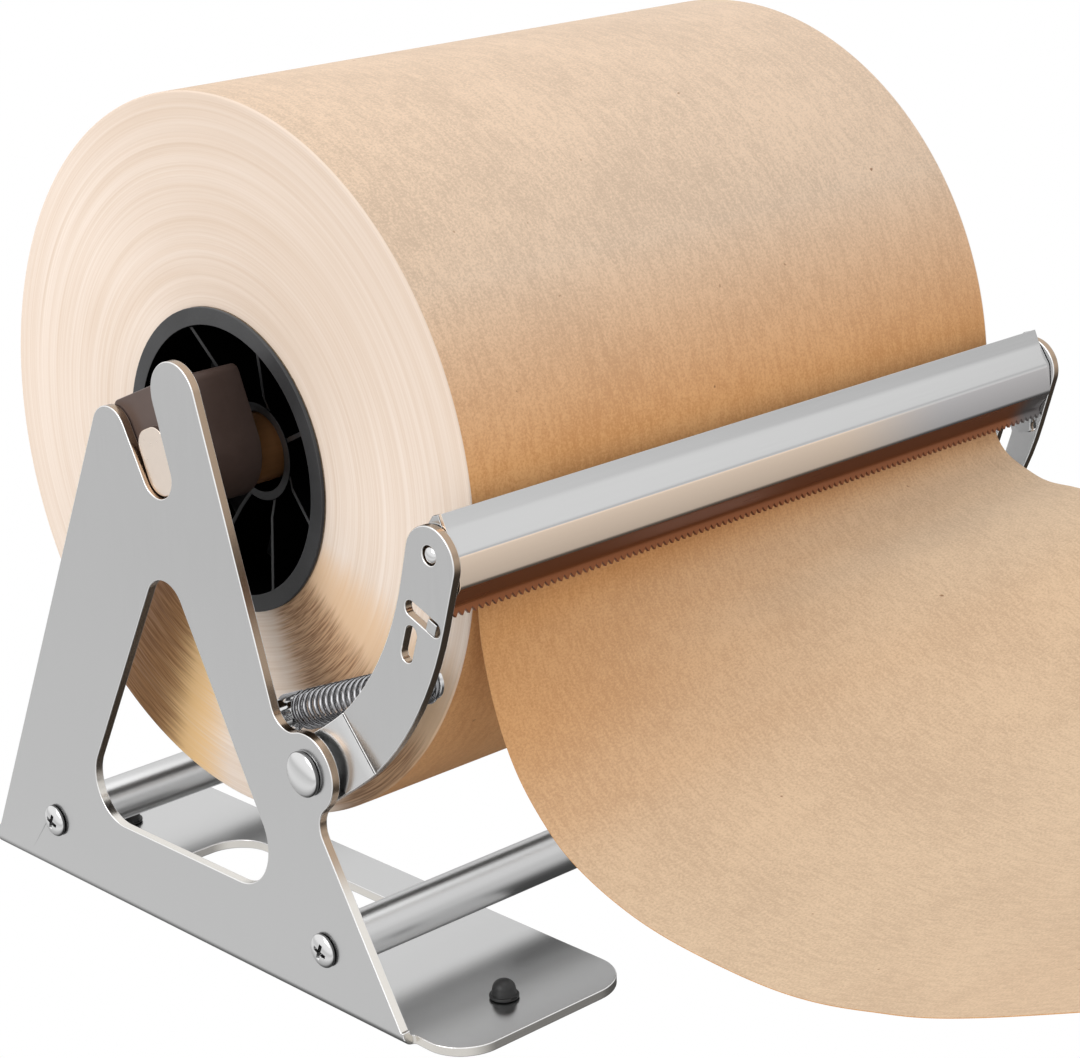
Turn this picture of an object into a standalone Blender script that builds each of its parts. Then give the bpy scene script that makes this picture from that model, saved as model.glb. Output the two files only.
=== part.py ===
"""Bench dispenser for a 9 inch roll of kraft paper, with a sprung serrated cutter.

X runs along the axle, the sheet leaves towards -Y, and +Z is up.
Lengths here are millimetres; a mesh is written in metres.
In the design frame y = 0 is the axle and z = 0 is the underside of the folded base flanges.
"""
import math

import bmesh
import bpy
from mathutils import Matrix, Vector

MM = 0.001
GAP = 0.3                       # clearance between pieces that touch
SIDES = {"left": -1, "right": 1}

# Whole object
AXLE_Y = 142.55                 # world y of the axle, which puts the box's middle on y = 0
FOOT_HEIGHT = 3.0               # rubber below the base flanges

# Side plates, folded from one sheet each
SHEET_STEEL = 3.0
PLATE_OUTER = 141.0             # |x| of the outer faces
PLATE_INNER = PLATE_OUTER - SHEET_STEEL
BEND_INNER = 1.5
FLANGE_EDGE = 64.5              # |x| where the base flange ends
FLANGE_FRONT = -122.5
FLANGE_REAR = 114.5
FLANGE_CORNER = 15.0
PLATE_FRONT_FOOT = -102.5       # y where the upright part ends at the bend
AXLE = (0.0, 156.0)             # y, z of the slots' round bottoms
SLOT_RADIUS = 7.6
SLOT_LEAN = math.radians(22.5)  # the slots lean rearward going up
REAR_HORN = (23.3, 164.4, 9.0)  # y, z, radius
FRONT_HORN = (-11.6, 182.0, 11.0)
WINDOW = ((1.2, 112.3, 9.5), (-26.7, 46.3, 16.0), (34.4, 44.3, 14.0))
BASE_WINDOW_X = (82.0, 122.0)
BASE_WINDOW_Y = (-42.0, 52.0)
BASE_WINDOW_CORNER = 13.0

# Cutter pivot
PIVOT = (-64.0, 76.7)
LOBE_RADIUS = 12.5
LOBE_FILLET = 8.0
PIVOT_BORE = 3.3
RIVET_SHANK = 3.0
RIVET_HEAD = 7.1
RIVET_DOME = 2.6

# Tie bars and their screws
TIE_BARS = {"front": (-67.7, 20.6), "rear": (74.6, 20.8)}
TIE_BAR_RADIUS = 7.5
SCREW_SHANK = 2.9
SCREW_BORE = 3.2
SCREW_HEAD = 5.8
SCREW_DOME = 2.8
SCREW_DEPTH = 14.0

# Rubber feet
FOOT_X = 102.4
FOOT_Y = (-104.0, 90.0)
FOOT_RADIUS = 8.0
FOOT_NECK = 3.0
FOOT_BORE = 3.3

# Roll of paper, its core and the plugs that carry it
ROLL_HALF = 114.3               # 9 inches wide in all
ROLL_RADIUS = 113.4
ROLL_BORE = 48.0
CORE_OUTER = 47.7
CORE_INNER = 44.1
PLUG_BORE = 12.8
AXLE_RADIUS = 11.0
ROLL_HANG = PLUG_BORE - AXLE_RADIUS - GAP
ROLL_CENTRE = (AXLE[0], AXLE[1] - ROLL_HANG)
PLUG_RIBS = 8

# Axle ends
BLOCK_IN = 112.0                # |x| of the block's inner face, inside the plug's recess
BLOCK_BORE_END = 124.0
TONGUE_OUT = 139.4              # the tongue stops short of the plate's outer face

# Cutter arms
ARM_STEEL = 2.8
ARM_OUTER = 134.0               # |x| of the upper part's outer face
ARM_JOGGLE = 2.6                # the pivot end is set outward by this
ARM_TOP = (-117.3, 152.4, 10.2)
ARM_FRONT_ARC = (-10.2, 168.4, 117.1)
ARM_REAR_ARC = (-10.4, 170.1, 97.6)
ARM_LUG_RADIUS = 11.0
ARM_BEND = ((-74.9, 96.5), (-88.3, 81.1))
ARM_BEND_RUN = 14.0
ARM_SLOT_RADIUS = 2.4
ARM_SLOTS = (((-108.2, 136.6), (-118.0, 132.7)), ((-107.8, 129.0), (-105.4, 122.2)))
ARM_HOLE = (-117.3, 154.1)
ARM_HOLE_RADIUS = 2.9

# Cutter bar: outer profile as y, z from the top flange to the tips of the teeth
BAR_PROFILE = ((-119.8, 165.9), (-121.7, 161.4), (-125.9, 154.9),
               (-126.5, 145.6), (-122.0, 139.5), (-122.6, 136.1))
BAR_STEEL = 1.2
BAR_HALF = 130.9
TOOTH_DEPTH = 1.7
TOOTH_COUNT = 104
END_PLATE_STEEL = 1.4

# Springs
SPRING_FRAME = (-36.0, 83.2)
SPRING_ARM = (-100.5, 109.5)
SPRING_X = 124.0
COIL_RADIUS = 5.5
WIRE_RADIUS = 0.75
COIL_TURNS = 17
COIL_STEPS = 6
COIL_START = 9.5                # from each post's axis to the first turn
POST_RADIUS = 4.0
POST_HEAD = 5.4

# Free sheet: y, z of its two edges, from the roll's front to the cut end
PAPER = 0.5
SHEET_LENGTH = 322.0
SHEET_STATIONS = 26
SHEET_SPANS = 3
LEFT_EDGE = ((-114.1, 154.5), (-114.2, 141.0), (-115.0, 120.0), (-122.0, 89.0), (-132.0, 71.0),
             (-145.0, 60.0), (-168.0, 52.0), (-196.0, 49.0), (-226.0, 49.0), (-254.0, 54.0),
             (-290.0, 65.0), (-377.0, 101.0))
RIGHT_EDGE = ((-114.1, 154.5), (-114.4, 143.0), (-117.0, 133.0), (-122.0, 127.0), (-131.0, 123.0),
              (-140.0, 121.0), (-156.0, 121.5), (-180.0, 119.0), (-210.0, 108.0), (-239.0, 98.0),
              (-268.0, 95.0), (-302.0, 99.0), (-332.0, 109.0), (-432.0, 157.0))


# ---------------------------------------------------------------- scene and materials

def clear_scene():
    for obj in list(bpy.data.objects):
        bpy.data.objects.remove(obj, do_unlink=True)


def make_material(name, colour, metallic, roughness):
    material = bpy.data.materials.new(name)
    material.use_nodes = True
    shader = material.node_tree.nodes["Principled BSDF"]
    shader.inputs["Base Color"].default_value = (*colour, 1.0)
    shader.inputs["Metallic"].default_value = metallic
    shader.inputs["Roughness"].default_value = roughness
    return material


FINISHES = {
    "steel": ((0.52, 0.52, 0.52), 1.0, 0.32),
    "bright": ((0.66, 0.66, 0.66), 1.0, 0.18),
    "spring": ((0.45, 0.45, 0.46), 1.0, 0.25),
    "polymer": ((0.022, 0.020, 0.020), 0.0, 0.45),
    "rubber": ((0.018, 0.018, 0.018), 0.0, 0.7),
    "kraft": ((0.60, 0.38, 0.20), 0.0, 0.85),
    "board": ((0.48, 0.33, 0.20), 0.0, 0.9),
}


def make_empty(name, y, z, parent=None):
    """An empty on a joint's axis, placed in the design frame."""
    empty = bpy.data.objects.new(name, None)
    bpy.context.collection.objects.link(empty)
    if parent is None:
        empty.location = (0.0, AXLE_Y * MM, FOOT_HEIGHT * MM)
    else:
        empty.parent = parent
        empty.location = (0.0, y * MM, z * MM)
    return empty


def make_object(name, mesh_data, parent, finish):
    """Turn a bmesh in design millimetres into a named object under its parent empty."""
    origin = Vector((0.0, 0.0, 0.0)) if parent.parent is None else parent.location.copy()
    bmesh.ops.recalc_face_normals(mesh_data, faces=mesh_data.faces)
    bmesh.ops.transform(mesh_data, matrix=Matrix.Scale(MM, 4), verts=mesh_data.verts)
    bmesh.ops.transform(mesh_data, matrix=Matrix.Translation(-origin), verts=mesh_data.verts)
    mesh = bpy.data.meshes.new(name)
    mesh_data.to_mesh(mesh)
    mesh_data.free()
    mesh.shade_smooth()
    mesh.set_sharp_from_angle(angle=math.radians(32.0))
    obj = bpy.data.objects.new(name, mesh)
    bpy.context.collection.objects.link(obj)
    obj.parent = parent
    if finish:
        mesh.materials.append(make_material(name + "_finish", *FINISHES[finish]))
    return obj


def apply_boolean(target, operation, name, mesh_data, parent):
    """Add a Boolean modifier whose operand is hidden from the build."""
    cutter = make_object(name, mesh_data, parent, None)
    cutter.hide_render = True
    cutter.display_type = 'WIRE'
    modifier = target.modifiers.new(name, 'BOOLEAN')
    modifier.operation = operation
    modifier.solver = 'EXACT'
    modifier.object = cutter


# ---------------------------------------------------------------- outlines

def belt(circles, step=15.0):
    """Outline that runs anticlockwise round circles (u, v, radius, sign) by their tangents.

    Sign 1 is a convex corner and -1 a concave one.
    """
    count = len(circles)
    normals = []
    for index in range(count):
        u0, v0, r0, s0 = circles[index]
        u1, v1, r1, s1 = circles[(index + 1) % count]
        span = math.hypot(u1 - u0, v1 - v0)
        ratio = max(-1.0, min(1.0, (s0 * r0 - s1 * r1) / span))
        normals.append(math.atan2(v1 - v0, u1 - u0) - math.acos(ratio))
    points = []
    for index, (u, v, radius, sign) in enumerate(circles):
        start = normals[index - 1]
        turn = (normals[index] - start) % math.tau if sign > 0 else -((start - normals[index]) % math.tau)
        if abs(turn) > math.tau - 0.01:
            turn = 0.0
        steps = max(1, math.ceil(abs(math.degrees(turn)) / step))
        for number in range(steps + 1):
            angle = start + turn * number / steps
            points.append((u + sign * radius * math.cos(angle), v + sign * radius * math.sin(angle)))
    return points


def rounded_box(low_u, high_u, low_v, high_v, radius, step=15.0):
    corners = ((low_u + radius, low_v + radius), (high_u - radius, low_v + radius),
               (high_u - radius, high_v - radius), (low_u + radius, high_v - radius))
    return belt([(u, v, radius, 1) for u, v in corners], step)


def slot_outline(start, end, radius, step=30.0):
    return belt([(*start, radius, 1), (*end, radius, 1)], step)


def circle_outline(u, v, radius, segments=20):
    turns = [math.tau * index / segments for index in range(segments)]
    return [(u + radius * math.cos(angle), v + radius * math.sin(angle)) for angle in turns]


def prism(outline, axis, low, high, body=None):
    """Straight solid: outline in (y, z) along X, in (x, z) along Y, or in (x, y) along Z."""
    body = body or bmesh.new()
    places = {"X": lambda u, v, w: (w, u, v), "Y": lambda u, v, w: (u, w, v), "Z": lambda u, v, w: (u, v, w)}
    place = places[axis]
    near = [body.verts.new(place(u, v, low)) for u, v in outline]
    far = [body.verts.new(place(u, v, high)) for u, v in outline]
    body.faces.new(near)
    body.faces.new(list(reversed(far)))
    for index in range(len(outline)):
        following = (index + 1) % len(outline)
        body.faces.new((near[index], far[index], far[following], near[following]))
    return body


def turned(profile, axis, centre, segments, hollow=False, body=None):
    """Solid of revolution: profile of (along, radius) about X through (y, z), or Z through (x, y).

    A hollow profile is a closed loop; a solid one starts and ends with radius 0.
    """
    body = body or bmesh.new()
    rings = []
    for along, radius in profile:
        ring = []
        for index in range(segments if radius > 0.0 else 1):
            angle = math.tau * index / segments
            u = centre[0] + radius * math.cos(angle)
            v = centre[1] + radius * math.sin(angle)
            ring.append(body.verts.new((along, u, v) if axis == "X" else (u, v, along)))
        rings.append(ring)
    pairs = list(zip(rings, rings[1:]))
    if hollow:
        pairs.append((rings[-1], rings[0]))
    for first, second in pairs:
        for index in range(segments):
            following = (index + 1) % segments
            corners = [first[index % len(first)], first[following % len(first)],
                       second[following % len(second)], second[index % len(second)]]
            face = list(dict.fromkeys(corners))
            body.faces.new(face)
    return body


def dome(base, height, radius, rings=4):
    """Profile points of a shallow dome from its rim to its top."""
    angles = [math.pi / 2 * index / rings for index in range(rings + 1)]
    points = [(base + height * math.sin(angle), radius * math.cos(angle)) for angle in angles]
    points[-1] = (base + height, 0.0)
    return points


def sided(side, profile):
    """Mirror a profile's along values to one side of the object."""
    return [(side * along, radius) for along, radius in profile]


# ---------------------------------------------------------------- side plates

def plate_silhouette():
    """Outline of a side plate in (y, z), with its pivot lobe, its two horns and its open slot."""
    top = Vector((FRONT_HORN[0], FRONT_HORN[1]))
    foot = Vector((PLATE_FRONT_FOOT, 0.0))
    span = foot - top
    slope = math.atan2(span.y, span.x) - math.asin(FRONT_HORN[2] / span.length)
    down = Vector((math.cos(slope), math.sin(slope)))
    outward = Vector((down.y, -down.x))
    pivot = Vector(PIVOT)
    depth = (pivot - foot).dot(outward)
    reach = math.sqrt((LOBE_RADIUS + LOBE_FILLET) ** 2 - (LOBE_FILLET - depth) ** 2)
    edge = pivot - outward * depth
    upper = edge - down * reach + outward * LOBE_FILLET
    lower = edge + down * reach + outward * LOBE_FILLET
    step = 5.0
    return belt([
        (FLANGE_REAR - 1.0, -5.0, 1.0, 1),
        (FLANGE_REAR - 1.5, step + 0.5, 1.5, 1),
        (112.4, 10.4, 2.0, -1),
        (*REAR_HORN, 1),
        (*AXLE, SLOT_RADIUS, -1),
        (*FRONT_HORN, 1),
        (upper.x, upper.y, LOBE_FILLET, -1),
        (pivot.x, pivot.y, LOBE_RADIUS, 1),
        (lower.x, lower.y, LOBE_FILLET, -1),
        (PLATE_FRONT_FOOT + 0.9, step + 0.4, 0.4, -1),
        (FLANGE_FRONT - 3.0, step - 1.0, 1.0, 1),
        (FLANGE_FRONT - 3.0, -5.0, 1.0, 1),
    ], step=12.0)


def plan_silhouette():
    """Outline of a folded side in (x, y) for the left side, with the bend relief at the front."""
    inner = -FLANGE_EDGE - FLANGE_CORNER
    return belt([
        (-122.5, FLANGE_FRONT + 14.0, 14.0, 1),
        (inner, FLANGE_FRONT + FLANGE_CORNER, FLANGE_CORNER, 1),
        (inner, FLANGE_REAR - FLANGE_CORNER, FLANGE_CORNER, 1),
        (-PLATE_OUTER + 2.0, FLANGE_REAR - 2.0, 2.0, 1),
        (-PLATE_OUTER + 0.4, PLATE_FRONT_FOOT + 0.4, 0.4, 1),
        (-PLATE_INNER + 0.6, PLATE_FRONT_FOOT - 0.6, 1.0, -1),
    ], step=15.0)


def fold_profile():
    """Section of the folded sheet in (x, z) for the right side."""
    bend_outer = BEND_INNER + SHEET_STEEL
    centre = (PLATE_OUTER - bend_outer, bend_outer)
    arc = [math.radians(-90.0 + 90.0 * index / 5) for index in range(6)]
    outer = [(centre[0] + bend_outer * math.cos(a), centre[1] + bend_outer * math.sin(a)) for a in arc]
    inner = [(centre[0] + BEND_INNER * math.cos(a), centre[1] + BEND_INNER * math.sin(a)) for a in arc]
    top = 230.0
    start = FLANGE_EDGE - 5.0
    return [(start, 0.0), *outer, (PLATE_OUTER, top), (PLATE_INNER, top), *reversed(inner),
            (start, SHEET_STEEL)]


def add_side_plate(name, side, root):
    section = [(side * x, z) for x, z in fold_profile()]
    plate = make_object("side_plate_" + name, prism(section, "Y", -140.0, 130.0), root, "steel")
    near, far = side * (FLANGE_EDGE - 10.0), side * (PLATE_OUTER + 10.0)
    apply_boolean(plate, 'INTERSECT', f"silhouette_{name}", prism(plate_silhouette(), "X", near, far), root)
    plan = [(-side * x, y) for x, y in plan_silhouette()]
    apply_boolean(plate, 'INTERSECT', f"plan_{name}", prism(plan, "Z", -20.0, 240.0), root)
    window = belt([(*corner, 1) for corner in WINDOW], step=18.0)
    through = (side * (PLATE_INNER - 3.0), side * (PLATE_OUTER + 3.0))
    apply_boolean(plate, 'DIFFERENCE', f"window_{name}", prism(window, "X", *through), root)
    low, high = (side * value for value in BASE_WINDOW_X)
    base = rounded_box(min(low, high), max(low, high), *BASE_WINDOW_Y, BASE_WINDOW_CORNER)
    apply_boolean(plate, 'DIFFERENCE', f"base_window_{name}", prism(base, "Z", -4.0, 8.0), root)
    holes = bmesh.new()
    for y, z in TIE_BARS.values():
        prism(circle_outline(y, z, SCREW_BORE), "X", *through, body=holes)
    prism(circle_outline(*PIVOT, PIVOT_BORE), "X", *through, body=holes)
    for y in FOOT_Y:
        prism(circle_outline(side * FOOT_X, y, FOOT_BORE), "Z", -4.0, 8.0, body=holes)
    apply_boolean(plate, 'DIFFERENCE', f"holes_{name}", holes, root)


# ---------------------------------------------------------------- frame pieces

def add_tie_bar(name, y, z, root):
    end = PLATE_INNER - GAP
    chamfer = 0.6
    bore = SCREW_DEPTH + 1.5
    profile = [(-end, SCREW_BORE), (-end, TIE_BAR_RADIUS - chamfer), (-end + chamfer, TIE_BAR_RADIUS),
               (end - chamfer, TIE_BAR_RADIUS), (end, TIE_BAR_RADIUS - chamfer), (end, SCREW_BORE),
               (end - bore, SCREW_BORE), (end - bore - 1.5, 0.0)]
    blind = [(-end + bore + 1.5, 0.0), (-end + bore, SCREW_BORE)]
    make_object("tie_bar_" + name, turned(blind + profile, "X", (y, z), 20), root, "bright")


def add_tie_bar_screw(name, side, y, z, root):
    seat = PLATE_OUTER + GAP
    tip = PLATE_INNER - SCREW_DEPTH
    profile = [(tip, 0.0), (tip, SCREW_SHANK - 0.6), (tip + 0.8, SCREW_SHANK), (seat, SCREW_SHANK),
               (seat, SCREW_HEAD), *dome(seat + 0.5, SCREW_DOME - 0.5, SCREW_HEAD, 3)]
    screw = make_object(name, turned(sided(side, profile), "X", (y, z), 16), root, "bright")
    recess = bmesh.new()
    arm, half, depth = 2.9, 0.6, 1.6
    cross = [(half, half), (half, arm), (-half, arm), (-half, half), (-arm, half), (-arm, -half),
             (-half, -half), (-half, -arm), (half, -arm), (half, -half), (arm, -half), (arm, half)]
    turn = math.radians(20.0)
    cosine, sine = math.cos(turn), math.sin(turn)
    outline = [(y + u * cosine - v * sine, z + u * sine + v * cosine) for u, v in cross]
    top = seat + SCREW_DOME
    prism(outline, "X", side * (top - depth), side * (top + 1.0), body=recess)
    apply_boolean(screw, 'DIFFERENCE', name + "_recess", recess, root)


def add_pivot_rivet(name, side, root):
    seat = PLATE_OUTER + GAP
    lug_inner = ARM_OUTER + ARM_JOGGLE - ARM_STEEL
    tail = lug_inner - GAP
    profile = [(tail - 1.6, 0.0), (tail - 1.6, 4.2), (tail - 0.4, 4.8), (tail, 4.8), (tail, RIVET_SHANK),
               (seat, RIVET_SHANK), (seat, RIVET_HEAD - 0.2), (seat + 0.4, RIVET_HEAD),
               *dome(seat + 0.9, RIVET_DOME - 0.9, RIVET_HEAD, 3)]
    make_object("pivot_rivet_" + name, turned(sided(side, profile), "X", PIVOT, 16), root, "bright")


def add_pivot_washer(name, side, root):
    outer, inner = PLATE_INNER - GAP, ARM_OUTER + ARM_JOGGLE + GAP
    profile = [(outer, PIVOT_BORE), (outer, 9.0), (inner, 9.0), (inner, PIVOT_BORE)]
    washer = turned(sided(side, profile), "X", PIVOT, 16, hollow=True)
    make_object("pivot_washer_" + name, washer, root, "bright")


def add_rubber_foot(name, x, y, root):
    top = SHEET_STEEL
    profile = [(-FOOT_HEIGHT, 0.0), (-FOOT_HEIGHT, FOOT_RADIUS - 0.8), (-GAP, FOOT_RADIUS), (-GAP, FOOT_NECK),
               (top + GAP, FOOT_NECK), (top + GAP, 4.6), (top + 1.2, 4.6), (top + 1.3, 3.8),
               (top + 2.8, 3.7), *dome(top + 3.0, 3.0, 3.6, 3)]
    make_object(name, turned(profile, "Z", (x, y), 14), root, "rubber")


def add_spring_post(name, side, base, centre, parent):
    neck_end = SPRING_X - 1.6
    profile = [(base, 0.0), (base, POST_RADIUS + 1.4), (SPRING_X + 3.4, POST_RADIUS + 1.4),
               (SPRING_X + 2.2, POST_RADIUS), (neck_end, POST_RADIUS), (neck_end, POST_HEAD),
               (neck_end - 1.2, POST_HEAD), (neck_end - 1.6, POST_HEAD - 0.6), (neck_end - 1.6, 0.0)]
    make_object(name, turned(sided(side, profile), "X", centre, 12), parent, "bright")


# ---------------------------------------------------------------- spring

def spring_route():
    """Centre line of a spring in (offset from SPRING_X, y, z): hook, coil, hook."""
    start, end = Vector(SPRING_FRAME), Vector(SPRING_ARM)
    along = (end - start).normalized()
    across = Vector((-along.y, along.x))
    if across.y < 0.0:
        across = -across
    route = []

    def hook(centre, backward, turns):
        for turn in turns:
            angle = math.radians(turn)
            radial = backward * math.cos(angle) + across * math.sin(angle)
            point = centre + radial * COIL_RADIUS
            route.append((0.0, point.x, point.y))

    hook(start, -along, range(-150, 91, 30))
    body = (end - start).length - 2.0 * COIL_START
    total = COIL_TURNS * COIL_STEPS
    for index in range(total + 1):
        angle = math.tau * index / COIL_STEPS
        centre = start + along * (COIL_START + body * index / total)
        point = centre + across * (COIL_RADIUS * math.cos(angle))
        route.append((COIL_RADIUS * math.sin(angle), point.x, point.y))
    hook(end, along, range(90, -151, -30))
    return [Vector(point) for point in route]


def sweep_wire(route, radius, sides):
    """Closed round wire along a route, with flat ends."""
    body = bmesh.new()
    rings = []
    normal = Vector((1.0, 0.0, 0.0))
    for index, point in enumerate(route):
        before = route[max(index - 1, 0)]
        after = route[min(index + 1, len(route) - 1)]
        tangent = (after - before).normalized()
        normal = (normal - tangent * normal.dot(tangent)).normalized()
        side = tangent.cross(normal)
        ring = []
        for number in range(sides):
            angle = math.tau * (number + 0.5) / sides
            ring.append(body.verts.new(point + (normal * math.cos(angle) + side * math.sin(angle)) * radius))
        rings.append(ring)
    for first, second in zip(rings, rings[1:]):
        for number in range(sides):
            following = (number + 1) % sides
            body.faces.new((first[number], first[following], second[following], second[number]))
    body.faces.new(rings[0])
    body.faces.new(list(reversed(rings[-1])))
    return body


def add_spring(name, side, parent):
    route = [Vector((side * (SPRING_X + point.x), point.y, point.z)) for point in spring_route()]
    make_object("cutter_spring_" + name, sweep_wire(route, WIRE_RADIUS, 4), parent, "spring")


# ---------------------------------------------------------------- cutter

def add_cutter_arm(name, side, parent):
    corners = [(*ARM_TOP, 1), (*ARM_FRONT_ARC, 1), (*PIVOT, ARM_LUG_RADIUS, 1), (*ARM_REAR_ARC, -1)]
    outline = belt(corners, 9.0)
    body = prism(outline, "X", side * (ARM_OUTER - ARM_STEEL), side * ARM_OUTER)
    first, second = (Vector(point) for point in ARM_BEND)
    line = (second - first).normalized()
    inward = Vector((-line.y, line.x))
    if (Vector(PIVOT) - first).dot(inward) < 0.0:
        inward = -inward
    steps = 4
    for index in range(steps + 1):
        point = first + inward * (ARM_BEND_RUN * index / steps)
        everything = body.verts[:] + body.edges[:] + body.faces[:]
        bmesh.ops.bisect_plane(body, geom=everything, dist=1e-5, plane_co=(0.0, point.x, point.y),
                               plane_no=(0.0, inward.x, inward.y))
    for vertex in body.verts:
        run = (Vector((vertex.co.y, vertex.co.z)) - first).dot(inward) / ARM_BEND_RUN
        ease = max(0.0, min(1.0, run))
        vertex.co.x += side * ARM_JOGGLE * ease * ease * (3.0 - 2.0 * ease)
    arm = make_object("cutter_arm_" + name, body, parent, "steel")
    cuts = bmesh.new()
    through = (side * (ARM_OUTER - ARM_STEEL - 3.0), side * (ARM_OUTER + ARM_JOGGLE + 3.0))
    for start, end in ARM_SLOTS:
        prism(slot_outline(start, end, ARM_SLOT_RADIUS), "X", *through, body=cuts)
    prism(circle_outline(*ARM_HOLE, ARM_HOLE_RADIUS, 18), "X", *through, body=cuts)
    prism(circle_outline(*PIVOT, PIVOT_BORE, 18), "X", *through, body=cuts)
    apply_boolean(arm, 'DIFFERENCE', f"arm_cuts_{name}", cuts, parent)


def offset_profile(points, distance):
    """The profile moved towards the roll by one thickness of sheet."""
    result = []
    for index, point in enumerate(points):
        before = Vector(points[max(index - 1, 0)])
        here = Vector(point)
        after = Vector(points[min(index + 1, len(points) - 1)])
        first = (here - before).normalized() if index else (after - here).normalized()
        second = (after - here).normalized() if index + 1 < len(points) else first
        mitre = (Vector((-first.y, first.x)) + Vector((-second.y, second.x))).normalized()
        scale = 1.0 / max(0.5, mitre.dot(Vector((-first.y, first.x))))
        result.append(tuple(here + mitre * distance * scale))
    return result


def add_cutter_bar(parent):
    """Folded sheet whose lower lip ends in a row of teeth."""
    body = bmesh.new()
    outer, inner = BAR_PROFILE, offset_profile(BAR_PROFILE, BAR_STEEL)
    tips = {"outer": Vector(outer[-1]), "inner": Vector(inner[-1])}
    lip = (Vector(outer[-1]) - Vector(outer[-2])).normalized()
    valleys = {key: tip - lip * TOOTH_DEPTH for key, tip in tips.items()}
    pitch = 2.0 * BAR_HALF / TOOTH_COUNT
    rows = {}
    for key, points in (("outer", outer), ("inner", inner)):
        rows[key] = [[body.verts.new((x, *point)) for x in (-BAR_HALF, BAR_HALF)] for point in points[:-1]]
        edge = []
        for index in range(2 * TOOTH_COUNT + 1):
            place = tips[key] if index % 2 else valleys[key]
            edge.append(body.verts.new((-BAR_HALF + 0.5 * pitch * index, place.x, place.y)))
        rows[key + "_teeth"] = edge
        for (left0, right0), (left1, right1) in zip(rows[key], rows[key][1:]):
            body.faces.new((left0, right0, right1, left1))
        left, right = rows[key][-1]
        body.faces.new([left, right, *reversed(edge)])
    for first, second, third, fourth in zip(rows["outer_teeth"], rows["outer_teeth"][1:],
                                            rows["inner_teeth"][1:], rows["inner_teeth"]):
        body.faces.new((first, second, third, fourth))
    body.faces.new((rows["outer"][0][0], rows["outer"][0][1], rows["inner"][0][1], rows["inner"][0][0]))
    for end, tooth in ((0, 0), (1, -1)):
        loop = [row[end] for row in rows["outer"]] + [rows["outer_teeth"][tooth]]
        loop += [rows["inner_teeth"][tooth]] + [row[end] for row in reversed(rows["inner"])]
        body.faces.new(loop)
    make_object("cutter_bar", body, parent, "steel")


def add_cutter_end_plate(name, side, parent):
    """Plate that nests in one end of the bar, with a square tab for the arm's sloping slot."""
    outer_face = ARM_OUTER - ARM_STEEL - GAP
    inner_face = outer_face - END_PLATE_STEEL
    nested = offset_profile(BAR_PROFILE, BAR_STEEL + GAP)[:5]
    outline = [*nested, (-119.6, 137.5), (-119.2, 131.0), (-115.0, 129.4), (-112.4, 133.0), (-111.6, 146.0),
               (-112.4, 160.0), (-116.0, 164.6)]
    plate = make_object("cutter_end_plate_" + name,
                        prism(outline, "X", side * inner_face, side * outer_face), parent, "steel")
    start, end = (Vector(point) for point in ARM_SLOTS[0])
    along = (end - start).normalized()
    across = Vector((-along.y, along.x))
    centre, half = end - along, ARM_SLOT_RADIUS - 0.5
    tab = [centre + along * (half * u) + across * (half * v) for u, v in ((1, 1), (-1, 1), (-1, -1), (1, -1))]
    tongue = prism([tuple(point) for point in tab], "X", side * (inner_face + 0.5), side * (ARM_OUTER + 0.4))
    apply_boolean(plate, 'UNION', f"tab_{name}", tongue, parent)
    hole = prism(circle_outline(*ARM_HOLE, ARM_HOLE_RADIUS, 18), "X", side * (inner_face - 2.0),
                 side * (outer_face + 1.0))
    apply_boolean(plate, 'DIFFERENCE', f"pin_hole_{name}", hole, parent)


def add_cutter_pin(name, side, parent):
    seat = ARM_OUTER - ARM_STEEL - END_PLATE_STEEL - 2.0 * GAP
    profile = [(seat - 1.6, 0.0), (seat - 1.6, 3.6), (seat - 0.4, 4.0), (seat, 4.0), (seat, 2.5),
               *dome(ARM_OUTER - 0.9, 1.0, 2.5, 3)]
    make_object("cutter_pin_" + name, turned(sided(side, profile), "X", ARM_HOLE, 12), parent, "bright")


# ---------------------------------------------------------------- axle and roll

def slot_frame(points):
    """Turn (across, up the slot) about the axle into (y, z)."""
    cosine, sine = math.cos(SLOT_LEAN), math.sin(SLOT_LEAN)
    return [(AXLE[0] + u * cosine + v * sine, AXLE[1] - u * sine + v * cosine) for u, v in points]


def add_axle(parent):
    end = BLOCK_BORE_END - GAP
    profile = [(-end, 0.0), (-end, AXLE_RADIUS - 0.8), (-end + 0.8, AXLE_RADIUS),
               (end - 0.8, AXLE_RADIUS), (end, AXLE_RADIUS - 0.8), (end, 0.0)]
    make_object("axle", turned(profile, "X", AXLE, 28), parent, "steel")


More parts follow.
